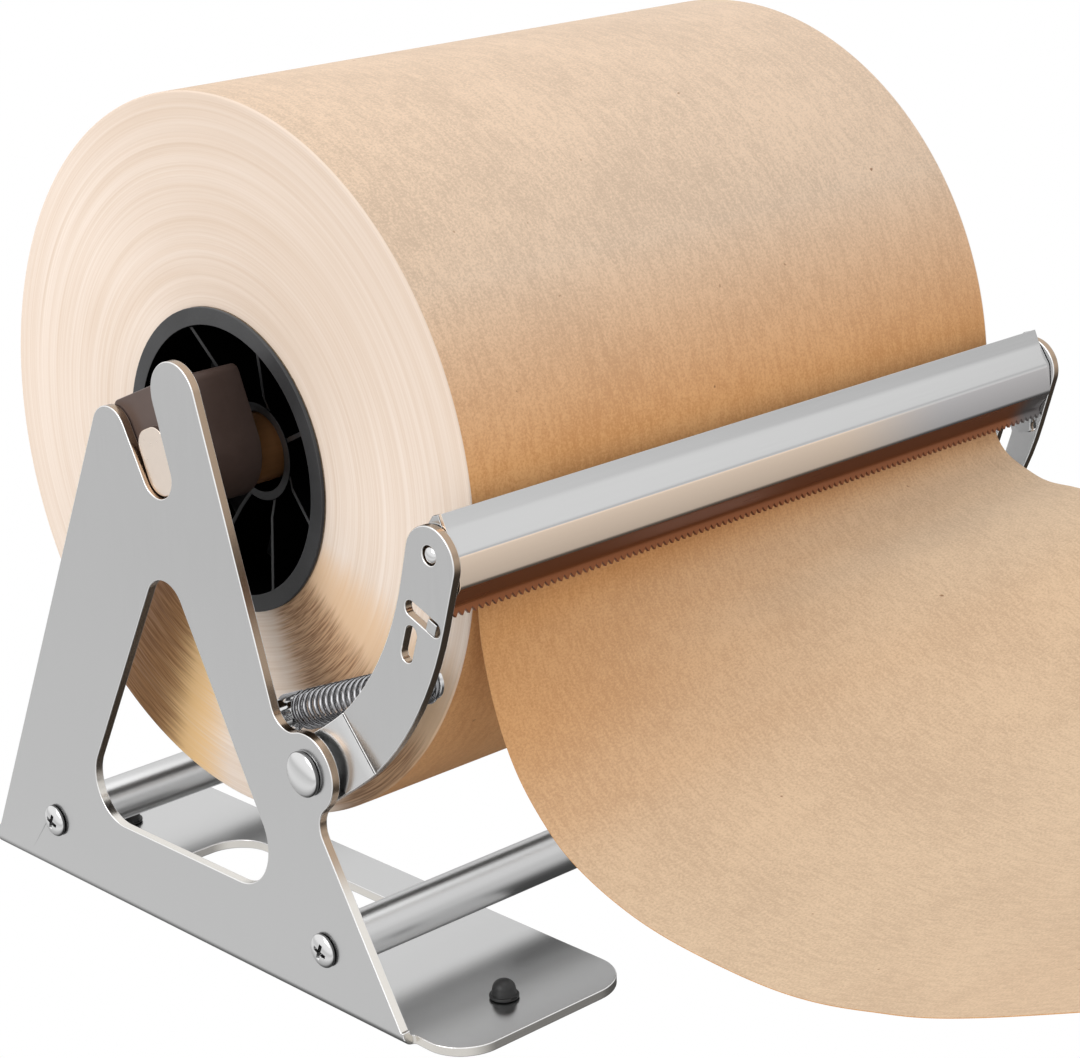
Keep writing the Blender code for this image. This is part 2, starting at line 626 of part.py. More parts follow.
def add_axle_block(name, side, parent):
    """D-shaped end block with the tongue that drops into the plate's slot."""
    half, top, low, corner = 16.5, 26.0, 3.5, 3.0
    outline = slot_frame(belt([(0.0, low, half, 1), (half - corner, top - corner, corner, 1),
                               (corner - half, top - corner, corner, 1)], 15.0))
    face = PLATE_INNER - GAP
    solid = prism(outline, "X", side * BLOCK_IN, side * face)
    block = make_object("axle_block_" + name, solid, parent, "steel")
    rounding = 5.5
    width = SLOT_RADIUS - GAP - 0.1
    tongue = slot_frame(belt([(0.0, 0.0, width, 1), (width - rounding, 14.3 - rounding, rounding, 1),
                              (rounding - width, 14.3 - rounding, rounding, 1)], 18.0))
    apply_boolean(block, 'UNION', f"tongue_{name}",
                  prism(tongue, "X", side * (face - 3.0), side * TONGUE_OUT), parent)
    bore = prism(circle_outline(*AXLE, AXLE_RADIUS + GAP, 36), "X", side * (BLOCK_IN - 2.0),
                 side * BLOCK_BORE_END)
    apply_boolean(block, 'DIFFERENCE', f"block_bore_{name}", bore, parent)


def add_roll(parent):
    roll = [(-ROLL_HALF, ROLL_BORE), (-ROLL_HALF, ROLL_RADIUS), (ROLL_HALF, ROLL_RADIUS),
            (ROLL_HALF, ROLL_BORE)]
    make_object("paper_roll", turned(roll, "X", ROLL_CENTRE, 84, hollow=True), parent, "kraft")
    core = [(-ROLL_HALF, CORE_INNER), (-ROLL_HALF, CORE_OUTER), (ROLL_HALF, CORE_OUTER),
            (ROLL_HALF, CORE_INNER)]
    make_object("core_tube", turned(core, "X", ROLL_CENTRE, 36, hollow=True), parent, "board")


def add_hub_plug(name, side, parent):
    """Ribbed plug pushed into the core; depths run inward from the roll's end face."""
    wall, lip, boss, web = 42.5, ROLL_BORE, 15.7, 24.0
    barrel = CORE_INNER - GAP
    shape = [(12.0, PLUG_BORE), (12.0, boss), (web, boss), (web, wall), (-1.5, wall), (-1.5, lip),
             (-GAP, lip), (-GAP, barrel), (web + 2.5, barrel), (web + 2.5, PLUG_BORE)]
    profile = [(side * (ROLL_HALF - depth), radius) for depth, radius in shape]
    solid = turned(profile, "X", ROLL_CENTRE, 36, hollow=True)
    plug = make_object("hub_plug_" + name, solid, parent, "polymer")
    ribs = bmesh.new()
    half = 0.8
    inner, outer = boss - 0.8, wall + 0.6
    section = [(inner, 13.0), (inner + 6.0, 9.5), (outer, 1.5), (outer, web + 0.8), (inner, web + 0.8)]
    for index in range(PLUG_RIBS):
        angle = math.tau * (index + 0.5) / PLUG_RIBS
        radial = Vector((math.cos(angle), math.sin(angle)))
        tangent = Vector((-radial.y, radial.x))
        sheets = []
        for shift in (-half, half):
            row = []
            for radius, depth in section:
                point = Vector(ROLL_CENTRE) + radial * radius + tangent * shift
                row.append(ribs.verts.new((side * (ROLL_HALF - depth), point.x, point.y)))
            sheets.append(row)
        ribs.faces.new(sheets[0])
        ribs.faces.new(list(reversed(sheets[1])))
        for number in range(len(section)):
            following = (number + 1) % len(section)
            ribs.faces.new((sheets[0][number], sheets[1][number], sheets[1][following], sheets[0][following]))
    apply_boolean(plug, 'UNION', f"ribs_{name}", ribs, parent)


# ---------------------------------------------------------------- free sheet

def smooth_edge(points, length, stations):
    """Evenly spaced points along a Catmull-Rom curve, cut at the given length."""
    knots = [Vector(point) for point in points]
    knots = [2 * knots[0] - knots[1], *knots, 2 * knots[-1] - knots[-2]]
    fine = []
    for p0, p1, p2, p3 in zip(knots, knots[1:], knots[2:], knots[3:]):
        for step in range(24):
            t = step / 24
            fine.append(0.5 * (2 * p1 + (p2 - p0) * t + (2 * p0 - 5 * p1 + 4 * p2 - p3) * t * t
                               + (3 * p1 - p0 - 3 * p2 + p3) * t ** 3))
    result, travelled, target = [], 0.0, 0.0
    for before, after in zip(fine, fine[1:]):
        span = (after - before).length
        while travelled + span >= target and len(result) <= stations:
            result.append(before.lerp(after, (target - travelled) / span))
            target = length * len(result) / stations
        travelled += span
    return result


def add_paper_sheet(parent):
    left = smooth_edge(LEFT_EDGE, SHEET_LENGTH, SHEET_STATIONS)
    right = smooth_edge(RIGHT_EDGE, SHEET_LENGTH, SHEET_STATIONS)
    body = bmesh.new()
    layers = {"back": [], "front": []}
    for index in range(SHEET_STATIONS + 1):
        twist = (right[index] - left[index]).length
        half = 0.5 * math.sqrt((2.0 * ROLL_HALF) ** 2 - twist ** 2)
        rows = {"back": [], "front": []}
        for span in range(SHEET_SPANS + 1):
            share = span / SHEET_SPANS
            place = left[index].lerp(right[index], share)
            before = left[max(index - 1, 0)].lerp(right[max(index - 1, 0)], share)
            after = left[min(index + 1, SHEET_STATIONS)].lerp(right[min(index + 1, SHEET_STATIONS)], share)
            tangent = (after - before).normalized()
            outward = Vector((tangent.y, -tangent.x))
            x = half * (2.0 * share - 1.0)
            for layer, shift in (("back", 0.0), ("front", PAPER)):
                point = place + outward * shift
                rows[layer].append(body.verts.new((x, point.x, point.y)))
        for layer in layers:
            layers[layer].append(rows[layer])
    for rows in layers.values():
        for first, second in zip(rows, rows[1:]):
            for span in range(SHEET_SPANS):
                body.faces.new((first[span], first[span + 1], second[span + 1], second[span]))
    back, front = layers["back"], layers["front"]
    for index in range(SHEET_STATIONS):
        for span in (0, SHEET_SPANS):
            body.faces.new((back[index][span], back[index + 1][span],
                            front[index + 1][span], front[index][span]))
    for index in (0, SHEET_STATIONS):
        for span in range(SHEET_SPANS):
            body.faces.new((back[index][span], back[index][span + 1],
                            front[index][span + 1], front[index][span]))
    make_object("paper_sheet", body, parent, "kraft")


# ---------------------------------------------------------------- assembly

def build():
    clear_scene()
    root = make_empty("frame_origin", 0.0, 0.0)
    pivot = make_empty("cutter_pivot", *PIVOT, root)
    lift = make_empty("axle_centre", *AXLE, root)
    turn = make_empty("roll_centre", *ROLL_CENTRE, root)
    for name, (y, z) in TIE_BARS.items():
        add_tie_bar(name, y, z, root)
    for name, side in SIDES.items():
        add_side_plate(name, side, root)
        for row, (y, z) in TIE_BARS.items():
            add_tie_bar_screw(f"tie_bar_screw_{row}_{name}", side, y, z, root)
        for row, y in zip(("front", "rear"), FOOT_Y):
            add_rubber_foot(f"rubber_foot_{row}_{name}", side * FOOT_X, y, root)
        add_pivot_rivet(name, side, root)
        add_pivot_washer(name, side, root)
        add_spring_post("spring_post_frame_" + name, side, PLATE_INNER - GAP, SPRING_FRAME, root)
        add_spring_post("spring_post_arm_" + name, side, ARM_OUTER - ARM_STEEL - GAP, SPRING_ARM, pivot)
        add_spring(name, side, pivot)
        add_cutter_arm(name, side, pivot)
        add_cutter_end_plate(name, side, pivot)
        add_cutter_pin(name, side, pivot)
        add_axle_block(name, side, lift)
        add_hub_plug(name, side, turn)
    add_cutter_bar(pivot)
    add_axle(lift)
    add_paper_sheet(lift)
    add_roll(turn)


build()
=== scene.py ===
"""Looks for a bench dispenser of kraft paper with a sprung serrated cutter.

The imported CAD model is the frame. Its nodes are replaced here by finer pieces of the same outer
size, with rounded edges, full coils, sharp teeth and procedural materials. The free sheet is
thinner than its node and is made of two pieces. The screw heads are a little smaller.

Lengths are millimetres in the design frame, where y = 0 is the axle, z = 0 is the underside of
the folded base flanges and the sheet leaves towards -Y. A finished mesh is written in metres.
"""

import math
import random

import bmesh
import bpy
from mathutils import Matrix, Vector


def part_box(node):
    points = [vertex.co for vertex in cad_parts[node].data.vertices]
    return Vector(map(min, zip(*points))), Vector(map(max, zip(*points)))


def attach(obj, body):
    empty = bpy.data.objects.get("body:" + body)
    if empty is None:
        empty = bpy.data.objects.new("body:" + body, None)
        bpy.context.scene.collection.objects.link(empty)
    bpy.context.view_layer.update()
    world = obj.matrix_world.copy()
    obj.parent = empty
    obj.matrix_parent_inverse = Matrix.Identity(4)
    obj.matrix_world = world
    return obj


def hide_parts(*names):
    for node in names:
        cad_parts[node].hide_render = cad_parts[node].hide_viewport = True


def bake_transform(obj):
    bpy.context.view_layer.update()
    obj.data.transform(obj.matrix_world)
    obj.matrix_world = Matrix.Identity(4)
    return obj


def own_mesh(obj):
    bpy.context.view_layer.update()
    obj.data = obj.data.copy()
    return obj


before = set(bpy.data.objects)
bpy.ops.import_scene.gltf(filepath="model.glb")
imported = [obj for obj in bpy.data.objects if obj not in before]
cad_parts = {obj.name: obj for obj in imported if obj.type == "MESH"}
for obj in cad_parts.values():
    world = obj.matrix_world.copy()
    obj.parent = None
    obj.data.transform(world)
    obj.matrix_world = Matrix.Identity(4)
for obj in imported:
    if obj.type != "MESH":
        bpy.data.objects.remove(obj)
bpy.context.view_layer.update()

MM = 0.001
SIDES = {"left": -1, "right": 1}
GAP = 0.3

# The axle's height over the flanges ties this script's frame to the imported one
AXLE = (0.0, 156.0)
axle_low, axle_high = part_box("axle")
ORIGIN = Vector((0.0, 0.5 * (axle_low.y + axle_high.y), 0.5 * (axle_low.z + axle_high.z) - AXLE[1] * MM))

# Side plates
SHEET_STEEL = 3.0
PLATE_ROUNDING = 0.3
PLATE_OUTER = 141.0
PLATE_INNER = PLATE_OUTER - SHEET_STEEL
BEND_INNER = 1.5
FLANGE_EDGE = 64.5
FLANGE_FRONT = -122.5
FLANGE_REAR = 114.5
FLANGE_CORNER = 15.0
PLATE_FRONT_FOOT = -102.5
SLOT_RADIUS = 7.6
SLOT_LEAN = math.radians(22.5)
REAR_HORN = (23.3, 164.4, 9.0)
FRONT_HORN = (-11.6, 182.0, 11.0)
WINDOW = ((1.2, 112.3, 9.5), (-26.7, 46.3, 16.0), (34.4, 44.3, 14.0))
BASE_WINDOW_X = (82.0, 122.0)
BASE_WINDOW_Y = (-42.0, 52.0)
BASE_WINDOW_CORNER = 13.0

# Cutter pivot
PIVOT = (-64.0, 76.7)
LOBE_RADIUS = 12.5
LOBE_FILLET = 8.0
PIVOT_BORE = 3.3
RIVET_SHANK = 3.0
RIVET_HEAD = 7.1
RIVET_DOME = 2.6
WASHER_RADIUS = 9.0

# Tie bars, screws and feet
TIE_BARS = {"front": (-67.7, 20.6), "rear": (74.6, 20.8)}
TIE_BAR_RADIUS = 7.5
SCREW_SHANK = 2.9
SCREW_BORE = 3.2
SCREW_HEAD = 5.4
SCREW_DOME = 2.2
SCREW_DEPTH = 14.0
FOOT_X = 102.4
FOOT_Y = (-104.0, 90.0)
FOOT_HEIGHT = 3.0
FOOT_RADIUS = 8.0
FOOT_NECK = 3.0
FOOT_BORE = 3.3

# Roll, core and plugs
ROLL_HALF = 114.3
ROLL_RADIUS = 113.4
ROLL_BORE = 48.0
CORE_OUTER = 47.7
CORE_INNER = 44.1
PLUG_BORE = 12.8
AXLE_RADIUS = 11.0
ROLL_CENTRE = (AXLE[0], AXLE[1] - (PLUG_BORE - AXLE_RADIUS - GAP))
PLUG_RIBS = 8

# Streaks on the roll's ends: the bearing from the front downwards, the cosines of the angles where
# the tint begins and where it is full, the tint, its strength, and whether it is broken into strokes
END_STREAKS = ((292.0, 0.25, 1.0, (0.56, 0.43, 0.33), 0.38, False),
               (42.0, 0.91, 0.995, (0.80, 0.52, 0.29), 0.75, False),
               (54.0, 0.95, 0.998, (0.60, 0.36, 0.20), 0.80, False),
               (53.0, 0.96, 1.0, (0.20, 0.08, 0.03), 0.75, True),
               (113.0, 0.95, 1.0, (0.85, 0.53, 0.21), 0.85, False),
               (126.0, 0.955, 1.0, (0.46, 0.22, 0.085), 0.85, False),
               (125.0, 0.955, 1.0, (0.24, 0.10, 0.04), 0.75, True))

# Axle ends
BLOCK_IN = 112.0
BLOCK_BORE_END = 124.0
TONGUE_OUT = 139.4

# Cutter
ARM_STEEL = 2.8
ARM_OUTER = 134.0
ARM_JOGGLE = 2.6
ARM_TOP = (-117.3, 152.4, 10.2)
ARM_FRONT_ARC = (-10.2, 168.4, 117.1)
ARM_REAR_ARC = (-10.4, 170.1, 97.6)
ARM_LUG_RADIUS = 11.0
ARM_BEND = ((-74.9, 96.5), (-88.3, 81.1))
ARM_BEND_RUN = 14.0
CREASE_HALF = 0.55
CREASE_DEPTH = 0.25
ARM_SLOT_RADIUS = 2.4
ARM_SLOTS = (((-108.2, 136.6), (-118.0, 132.7)), ((-107.8, 129.0), (-105.4, 122.2)))
ARM_HOLE = (-117.3, 154.1)
ARM_HOLE_RADIUS = 2.9
PIN_RADIUS = 2.5
BAR_PROFILE = ((-119.8, 165.9), (-121.7, 161.4), (-125.9, 154.9),
               (-126.5, 145.6), (-122.0, 139.5), (-122.6, 136.1))
BAR_STEEL = 1.2
BAR_HALF = 130.9
TOOTH_DEPTH = 1.7
TOOTH_COUNT = 104
END_PLATE_STEEL = 1.4

# Springs
SPRING_FRAME = (-36.0, 83.2)
SPRING_ARM = (-100.5, 109.5)
SPRING_X = 124.0
COIL_RADIUS = 5.5
WIRE_RADIUS = 0.75
COIL_TURNS = 17
COIL_STEPS = 24
COIL_START = 9.5
POST_RADIUS = 4.0
POST_HEAD = 5.4

# Free sheet
PAPER = 0.25
SHEET_WIDTH = 2.0 * ROLL_HALF
SHEET_LENGTH = 322.0
LEAD_LENGTH = 16.0              # the stretch between the roll and the teeth is a piece of its own
SHEET_STEP = 2.0
SHEET_SPANS = 48
LEFT_EDGE = ((-114.1, 154.5), (-114.2, 141.0), (-115.0, 120.0), (-122.0, 89.0), (-132.0, 71.0),
             (-145.0, 60.0), (-168.0, 52.0), (-196.0, 49.0), (-226.0, 49.0), (-254.0, 54.0),
             (-290.0, 65.0), (-377.0, 101.0))
RIGHT_EDGE = ((-114.1, 154.5), (-114.4, 143.0), (-117.0, 133.0), (-122.0, 127.0), (-131.0, 123.0),
              (-140.0, 121.0), (-156.0, 121.5), (-180.0, 119.0), (-210.0, 108.0), (-239.0, 98.0),
              (-268.0, 95.0), (-302.0, 99.0), (-332.0, 109.0), (-432.0, 157.0))

# Camera: where it stands in metres from the axle, and azimuth, elevation and roll in degrees
CAMERA_FROM_AXLE = (-0.61385, -0.69010, 0.24663)
CAMERA_ANGLES = (-42.318, 17.964, -2.314)
CAMERA_LENS = 95.60
SENSOR = 36.0

# Studio: how bright it is at each height, where heights are counted lower towards the right, and
# the square lamps, each with its place and side in metres and its power in watts
WHITE = (1.0, 1.0, 1.0)
STUDIO_TILT = 0.4
STUDIO_STOPS = ((-0.80, 0.07), (-0.65, 0.25), (-0.56, 0.48), (-0.46, 0.56), (-0.30, 0.84), (-0.22, 0.86),
                (-0.03, 0.66), (0.08, 0.92), (0.2, 1.0), (1.0, 1.0))
LAMPS = (("key", (-1.9, 0.1, 1.1), 1.4, 14.0), ("top", (-0.1, 0.4, 2.2), 1.8, 9.0))
LAMP_TARGET = (0.0, 0.05, 0.12)
FLOOR_HALF = 8.0


# ---- outlines

def belt(circles, step=5.0):
    """Outline that runs anticlockwise round circles (u, v, radius, sign) by their tangents.

    Sign 1 is a convex corner and -1 a concave one.
    """
    count = len(circles)
    normals = []
    for index in range(count):
        u0, v0, r0, s0 = circles[index]
        u1, v1, r1, s1 = circles[(index + 1) % count]
        span = math.hypot(u1 - u0, v1 - v0)
        ratio = max(-1.0, min(1.0, (s0 * r0 - s1 * r1) / span))
        normals.append(math.atan2(v1 - v0, u1 - u0) - math.acos(ratio))
    points = []
    for index, (u, v, radius, sign) in enumerate(circles):
        start = normals[index - 1]
        turn = (normals[index] - start) % math.tau if sign > 0 else -((start - normals[index]) % math.tau)
        if abs(turn) > math.tau - 0.01:
            turn = 0.0
        fine = max(step, math.degrees(0.25 / max(radius, 0.2)))
        steps = max(1, math.ceil(abs(math.degrees(turn)) / fine))
        for number in range(steps + 1):
            angle = start + turn * number / steps
            points.append((u + sign * radius * math.cos(angle), v + sign * radius * math.sin(angle)))
    return points


def rounded_box(low_u, high_u, low_v, high_v, radius):
    corners = ((low_u + radius, low_v + radius), (high_u - radius, low_v + radius),
               (high_u - radius, high_v - radius), (low_u + radius, high_v - radius))
    return belt([(u, v, radius, 1) for u, v in corners])


def circle_outline(u, v, radius, segments=48):
    turns = [math.tau * index / segments for index in range(segments)]
    return [(u + radius * math.cos(angle), v + radius * math.sin(angle)) for angle in turns]


def skin(body, first, second, closed=True):
    """Quads between two equal rows of vertices."""
    count = len(first)
    for index in range(count if closed else count - 1):
        following = (index + 1) % count
        body.faces.new((first[index], first[following], second[following], second[index]))


def loft(body, rings):
    """Closed solid through rings of vertices, with a cap at each end."""
    body.faces.new(rings[0])
    body.faces.new(list(reversed(rings[-1])))
    for first, second in zip(rings, rings[1:]):
        skin(body, first, second)


def prism(outline, axis, low, high, body=None):
    """Straight solid: outline in (y, z) along X, in (x, z) along Y, or in (x, y) along Z."""
    body = body or bmesh.new()
    places = {"X": lambda u, v, w: (w, u, v), "Y": lambda u, v, w: (u, w, v), "Z": lambda u, v, w: (u, v, w)}
    loft(body, [[body.verts.new(places[axis](u, v, w)) for u, v in outline] for w in (low, high)])
    return body


def turned(profile, axis, centre, segments, hollow=False, body=None):
    """Solid of revolution: profile of (along, radius) about X through (y, z), or Z through (x, y)."""
    body = body or bmesh.new()
    rings = []
    for along, radius in profile:
        ring = []
        for index in range(segments if radius > 0.0 else 1):
            angle = math.tau * index / segments
            u = centre[0] + radius * math.cos(angle)
            v = centre[1] + radius * math.sin(angle)
            ring.append(body.verts.new((along, u, v) if axis == "X" else (u, v, along)))
        rings.append(ring)
    pairs = list(zip(rings, rings[1:]))
    if hollow:
        pairs.append((rings[-1], rings[0]))
    for first, second in pairs:
        for index in range(segments):
            following = (index + 1) % segments
            corners = [first[index % len(first)], first[following % len(first)],
                       second[following % len(second)], second[index % len(second)]]
            body.faces.new(list(dict.fromkeys(corners)))
    return body


def dome(base, height, radius, rings=10):
    """Profile points of a shallow dome from its rim to its top."""
    angles = [math.pi / 2 * index / rings for index in range(rings + 1)]
    points = [(base + height * math.sin(angle), radius * math.cos(angle)) for angle in angles]
    points[-1] = (base + height, 0.0)
    return points


def mirrored(half):
    """A profile from one half of it and that half's mirror image."""
    return half + [(-along, radius) for along, radius in reversed(half)]


def quarter_turn(way):
    return Vector((-way.y, way.x))


def sided(side, profile):
    return [(side * along, radius) for along, radius in profile]


# ---- meshes and pieces

def placed(name, data):
    """A new object with this data, in the scene."""
    obj = bpy.data.objects.new(name, data)
    bpy.context.collection.objects.link(obj)
    return obj


def meshed(name, body):
    """A new object whose mesh is the bmesh, which is freed."""
    mesh = bpy.data.meshes.new(name)
    body.to_mesh(mesh)
    body.free()
    return placed(name, mesh)


def temporary(name, body):
    bmesh.ops.recalc_face_normals(body, faces=body.faces)
    return meshed(name, body)


def carved(body, *steps):
    """The solid after each (operation, other solid), as a fresh bmesh."""
    target = temporary("carving", body)
    tools = []
    for operation, solid in steps:
        tool = temporary("tool", solid)
        modifier = target.modifiers.new(operation, 'BOOLEAN')
        modifier.operation = operation
        modifier.solver = 'EXACT'
        modifier.object = tool
        tools.append(tool)
    result = bmesh.new()
    result.from_object(target, bpy.context.evaluated_depsgraph_get())
    for obj in (target, *tools):
        mesh = obj.data
        bpy.data.objects.remove(obj)
        bpy.data.meshes.remove(mesh)
    bmesh.ops.remove_doubles(result, verts=result.verts, dist=1e-4)
    bmesh.ops.dissolve_degenerate(result, edges=result.edges, dist=1e-4)
    return result


def make_piece(name, body, materials, rides=None, node=None, bevel=0.0, choose=None, smooth=35.0,
               bevel_highlight_slot=-1):
    """A finished piece: from a bmesh in design millimetres to an object that rides on a body."""
    bmesh.ops.recalc_face_normals(body, faces=body.faces)
    if choose:
        for face in body.faces:
            face.material_index = choose(face)
    bmesh.ops.transform(body, matrix=Matrix.Translation(ORIGIN) @ Matrix.Scale(MM, 4), verts=body.verts)
    obj = meshed(name, body)
    obj.data.shade_smooth()
    obj.data.set_sharp_from_angle(angle=math.radians(smooth))
    for material in materials:
        obj.data.materials.append(material)
    if bevel:
        modifier = obj.modifiers.new("edge_rounding", 'BEVEL')
        modifier.width = bevel * MM
        modifier.segments = 2
        modifier.limit_method = 'ANGLE'
        modifier.angle_limit = math.radians(smooth)
        modifier.use_clamp_overlap = False
        modifier.material = bevel_highlight_slot
        modifier.harden_normals = True
    if node:
        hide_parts(node)
    if rides:
        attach(obj, rides)
    return obj


# ---- materials

def new_material(name):
    material = bpy.data.materials.new(name)
    material.use_nodes = True
    return material, material.node_tree, material.node_tree.nodes["Principled BSDF"]


def mapped(tree, coordinates="Object"):
    return add_node(tree, "TexCoord").outputs[coordinates]


def feed(tree, node, **inputs):
    """Give a node its inputs, as values or sockets: i0 is by number, and _ stands for a space."""
    for key, value in inputs.items():
        numbered = key[0] == "i" and key[1:].isdigit()
        socket = node.inputs[int(key[1:]) if numbered else key.replace("_", " ")]
        if isinstance(value, bpy.types.NodeSocket):
            tree.links.new(value, socket)
        elif socket.type == 'RGBA':
            socket.default_value = (*value, 1.0)
        else:
            socket.default_value = value


def add_node(tree, kind, settings=None, **inputs):
    node = tree.nodes.new("ShaderNode" + kind)
    for key, value in (settings or {}).items():
        setattr(node, key, value)
    feed(tree, node, **inputs)
    return node


def vectors(tree, operation, first, second=(0.0, 0.0, 0.0)):
    return add_node(tree, "VectorMath", {"operation": operation}, i0=first, i1=second)


def stretch(tree, source, scale):
    return vectors(tree, 'MULTIPLY', source, scale).outputs[0]


def noise(tree, source, scale, detail=2.0, rough=0.5):
    return add_node(tree, "TexNoise", Vector=source, Scale=scale, Detail=detail, Roughness=rough).outputs[0]


def spread(tree, value, low, high, to_low=0.0, to_high=1.0, smooth=False):
    kind = {"interpolation_type": 'SMOOTHSTEP' if smooth else 'LINEAR'}
    return add_node(tree, "MapRange", kind, i0=value, i1=low, i2=high, i3=to_low, i4=to_high).outputs[0]


def maths(tree, operation, first, second=0.0):
    return add_node(tree, "Math", {"operation": operation}, i0=first, i1=second).outputs[0]


def weigh(tree, *parts):
    """Sum of (socket, weight) parts."""
    total = None
    for socket, weight in parts:
        scaled = maths(tree, 'MULTIPLY', socket, weight)
        total = scaled if total is None else maths(tree, 'ADD', total, scaled)
    return total


def mix(tree, share, first, second):
    return add_node(tree, "Mix", {"data_type": 'RGBA'}, i0=share, i6=first, i7=second).outputs[2]


def bump(tree, height, strength, distance):
    return add_node(tree, "Bump", Strength=strength, Distance=distance, Height=height).outputs[0]


def tinted(colour, factor):
    return tuple(min(1.0, channel * factor) for channel in colour)


def steel(name, colour, rough, grain, lift=0.02, metal=1.0, change=None):
    """Stainless steel: faint drawn grain along an axis, slight clouding and fine scratches.

    change is (axis, start, end, colour): the tone that it takes on between two places along an axis; below,
    this marks where a painted reflection of the paper begins or ends.
    """
    material, tree, shader = new_material(name)
    place = mapped(tree)
    lines = noise(tree, stretch(tree, place, grain), 1.0, 3.0, 0.6)
    clouds = noise(tree, place, 7.0, 2.0, 0.5)
    tint = weigh(tree, (lines, 0.5), (clouds, 0.5))
    tone = mix(tree, spread(tree, tint, 0.3, 0.7), tinted(colour, 1.0 - lift), tinted(colour, 1.0 + lift))
    if change:
        axis, start, end, other = change
        along = add_node(tree, "SeparateXYZ", Vector=place).outputs[axis]
        low, high = (ORIGIN["XYZ".index(axis)] + value * MM for value in (start, end))
        tone = mix(tree, spread(tree, along, low, high, smooth=True), tone, other)
    feed(tree, shader, Base_Color=tone, Metallic=metal, Normal=bump(tree, lines, 0.03, 0.00002),
         Roughness=spread(tree, tint, 0.3, 0.7, rough - 0.02, rough + 0.03))
    return material


def moulded(name, colour, rough, grain, depth, gloss=0.5):
    """Black polymer or rubber with a fine moulded grain and a little dust."""
    material, tree, shader = new_material(name)
    place = mapped(tree)
    fine = noise(tree, place, grain, 3.0, 0.6)
    broad = noise(tree, place, 40.0, 3.0, 0.5)
    tone = mix(tree, spread(tree, broad, 0.35, 0.7), colour, tinted(colour, 1.6))
    feed(tree, shader, Base_Color=tone, Specular_IOR_Level=gloss, Normal=bump(tree, fine, 0.25, depth),
         Roughness=spread(tree, fine, 0.3, 0.7, rough - 0.06, rough + 0.06))
    return material


def kraft(name, pale, deep, painted_top_tint, near, far, along, coordinates="Object"):
    """Uncoated kraft paper: fibre mottling, clouding, dark specks, and a painted sheen that makes it paler
    where it looks up.

    The painted sheen sets in between two values of the surface normal's upward part.
    """
    material, tree, shader = new_material(name)
    place = mapped(tree, coordinates)
    fibres = noise(tree, stretch(tree, place, along), 1.0, 4.0, 0.62)
    mottle = noise(tree, place, 1300.0, 2.0, 0.7)
    clouds = noise(tree, place, 26.0, 4.0, 0.55)
    flecks = noise(tree, place, 330.0, 1.0, 0.5)
    tone = weigh(tree, (fibres, 0.30), (mottle, 0.50), (clouds, 0.20))
    tone = spread(tree, tone, 0.42, 0.58)
    colour = mix(tree, tone, deep, pale)
    # Painted sheen: the colour turns paler where the surface faces up, for the light that falls on top
    normal = add_node(tree, "NewGeometry").outputs["Normal"]
    upward = add_node(tree, "SeparateXYZ", Vector=normal).outputs[2]
    painted_top_colour = mix(tree, tone, tinted(painted_top_tint, 0.87), tinted(painted_top_tint, 1.12))
    colour = mix(tree, spread(tree, upward, near, far), colour, painted_top_colour)
    speck = spread(tree, flecks, 0.79, 0.84, 0.0, 0.8)
    colour = mix(tree, speck, colour, (deep[0] * 0.35, deep[1] * 0.30, deep[2] * 0.26))
    feed(tree, shader, Base_Color=colour, Roughness=spread(tree, mottle, 0.3, 0.7, 0.62, 0.8),
         Specular_IOR_Level=0.35, Sheen_Weight=0.08, Sheen_Roughness=0.60, Sheen_Tint=(1.0, 0.93, 0.86),
         Normal=bump(tree, maths(tree, 'ADD', fibres, mottle), 0.35, 0.00012))
    return material


def roll_end(name):
    """Cut end of a wound roll: fine rings, soft bands, and brown streaks low at the front and rear."""
    material, tree, shader = new_material(name)
    place = mapped(tree)
    centre = (0.0, ORIGIN.y + ROLL_CENTRE[0] * MM, ORIGIN.z + ROLL_CENTRE[1] * MM)
    offset = vectors(tree, 'SUBTRACT', place, centre).outputs[0]
    flat = stretch(tree, offset, (0.0, 1.0, 1.0))
    radius = vectors(tree, 'LENGTH', flat).outputs["Value"]
    aim = vectors(tree, 'NORMALIZE', flat).outputs[0]
    bearing = add_node(tree, "SeparateXYZ", Vector=aim)

    def rings(per_metre, around, detail):
        """Noise that is drawn out round the axle."""
        joined = add_node(tree, "CombineXYZ", X=maths(tree, 'MULTIPLY', radius, per_metre),
                          Y=maths(tree, 'MULTIPLY', bearing.outputs[1], around),
                          Z=maths(tree, 'MULTIPLY', bearing.outputs[2], around)).outputs[0]
        return noise(tree, joined, 1.0, detail, 0.55)

    fine, middle, broad = rings(2200.0, 0.5, 2.0), rings(700.0, 0.7, 3.0), rings(70.0, 0.9, 2.0)
    tone = weigh(tree, (fine, 0.40), (middle, 0.35), (broad, 0.25))
    colour = mix(tree, spread(tree, tone, 0.34, 0.62), (0.735, 0.585, 0.465), (0.865, 0.745, 0.65))
    wander = maths(tree, 'MULTIPLY', maths(tree, 'SUBTRACT', rings(1300.0, 0.9, 3.0), 0.5), 0.05)
    strokes = spread(tree, rings(2600.0, 6.0, 2.0), 0.40, 0.62)
    for degrees, outer, inner, tint, strength, broken in END_STREAKS:
        turn = math.radians(degrees)
        facing = vectors(tree, 'DOT_PRODUCT', aim, (0.0, -math.cos(turn), -math.sin(turn))).outputs["Value"]
        share = spread(tree, maths(tree, 'ADD', facing, wander), outer, inner, smooth=True)
        share = maths(tree, 'MULTIPLY', share, strength)
        if broken:
            share = maths(tree, 'MULTIPLY', share, strokes)
        colour = mix(tree, share, colour, tint)
    feed(tree, shader, Base_Color=colour, Roughness=0.75, Specular_IOR_Level=0.3,
         Normal=bump(tree, tone, 0.35, 0.0002))
    return material


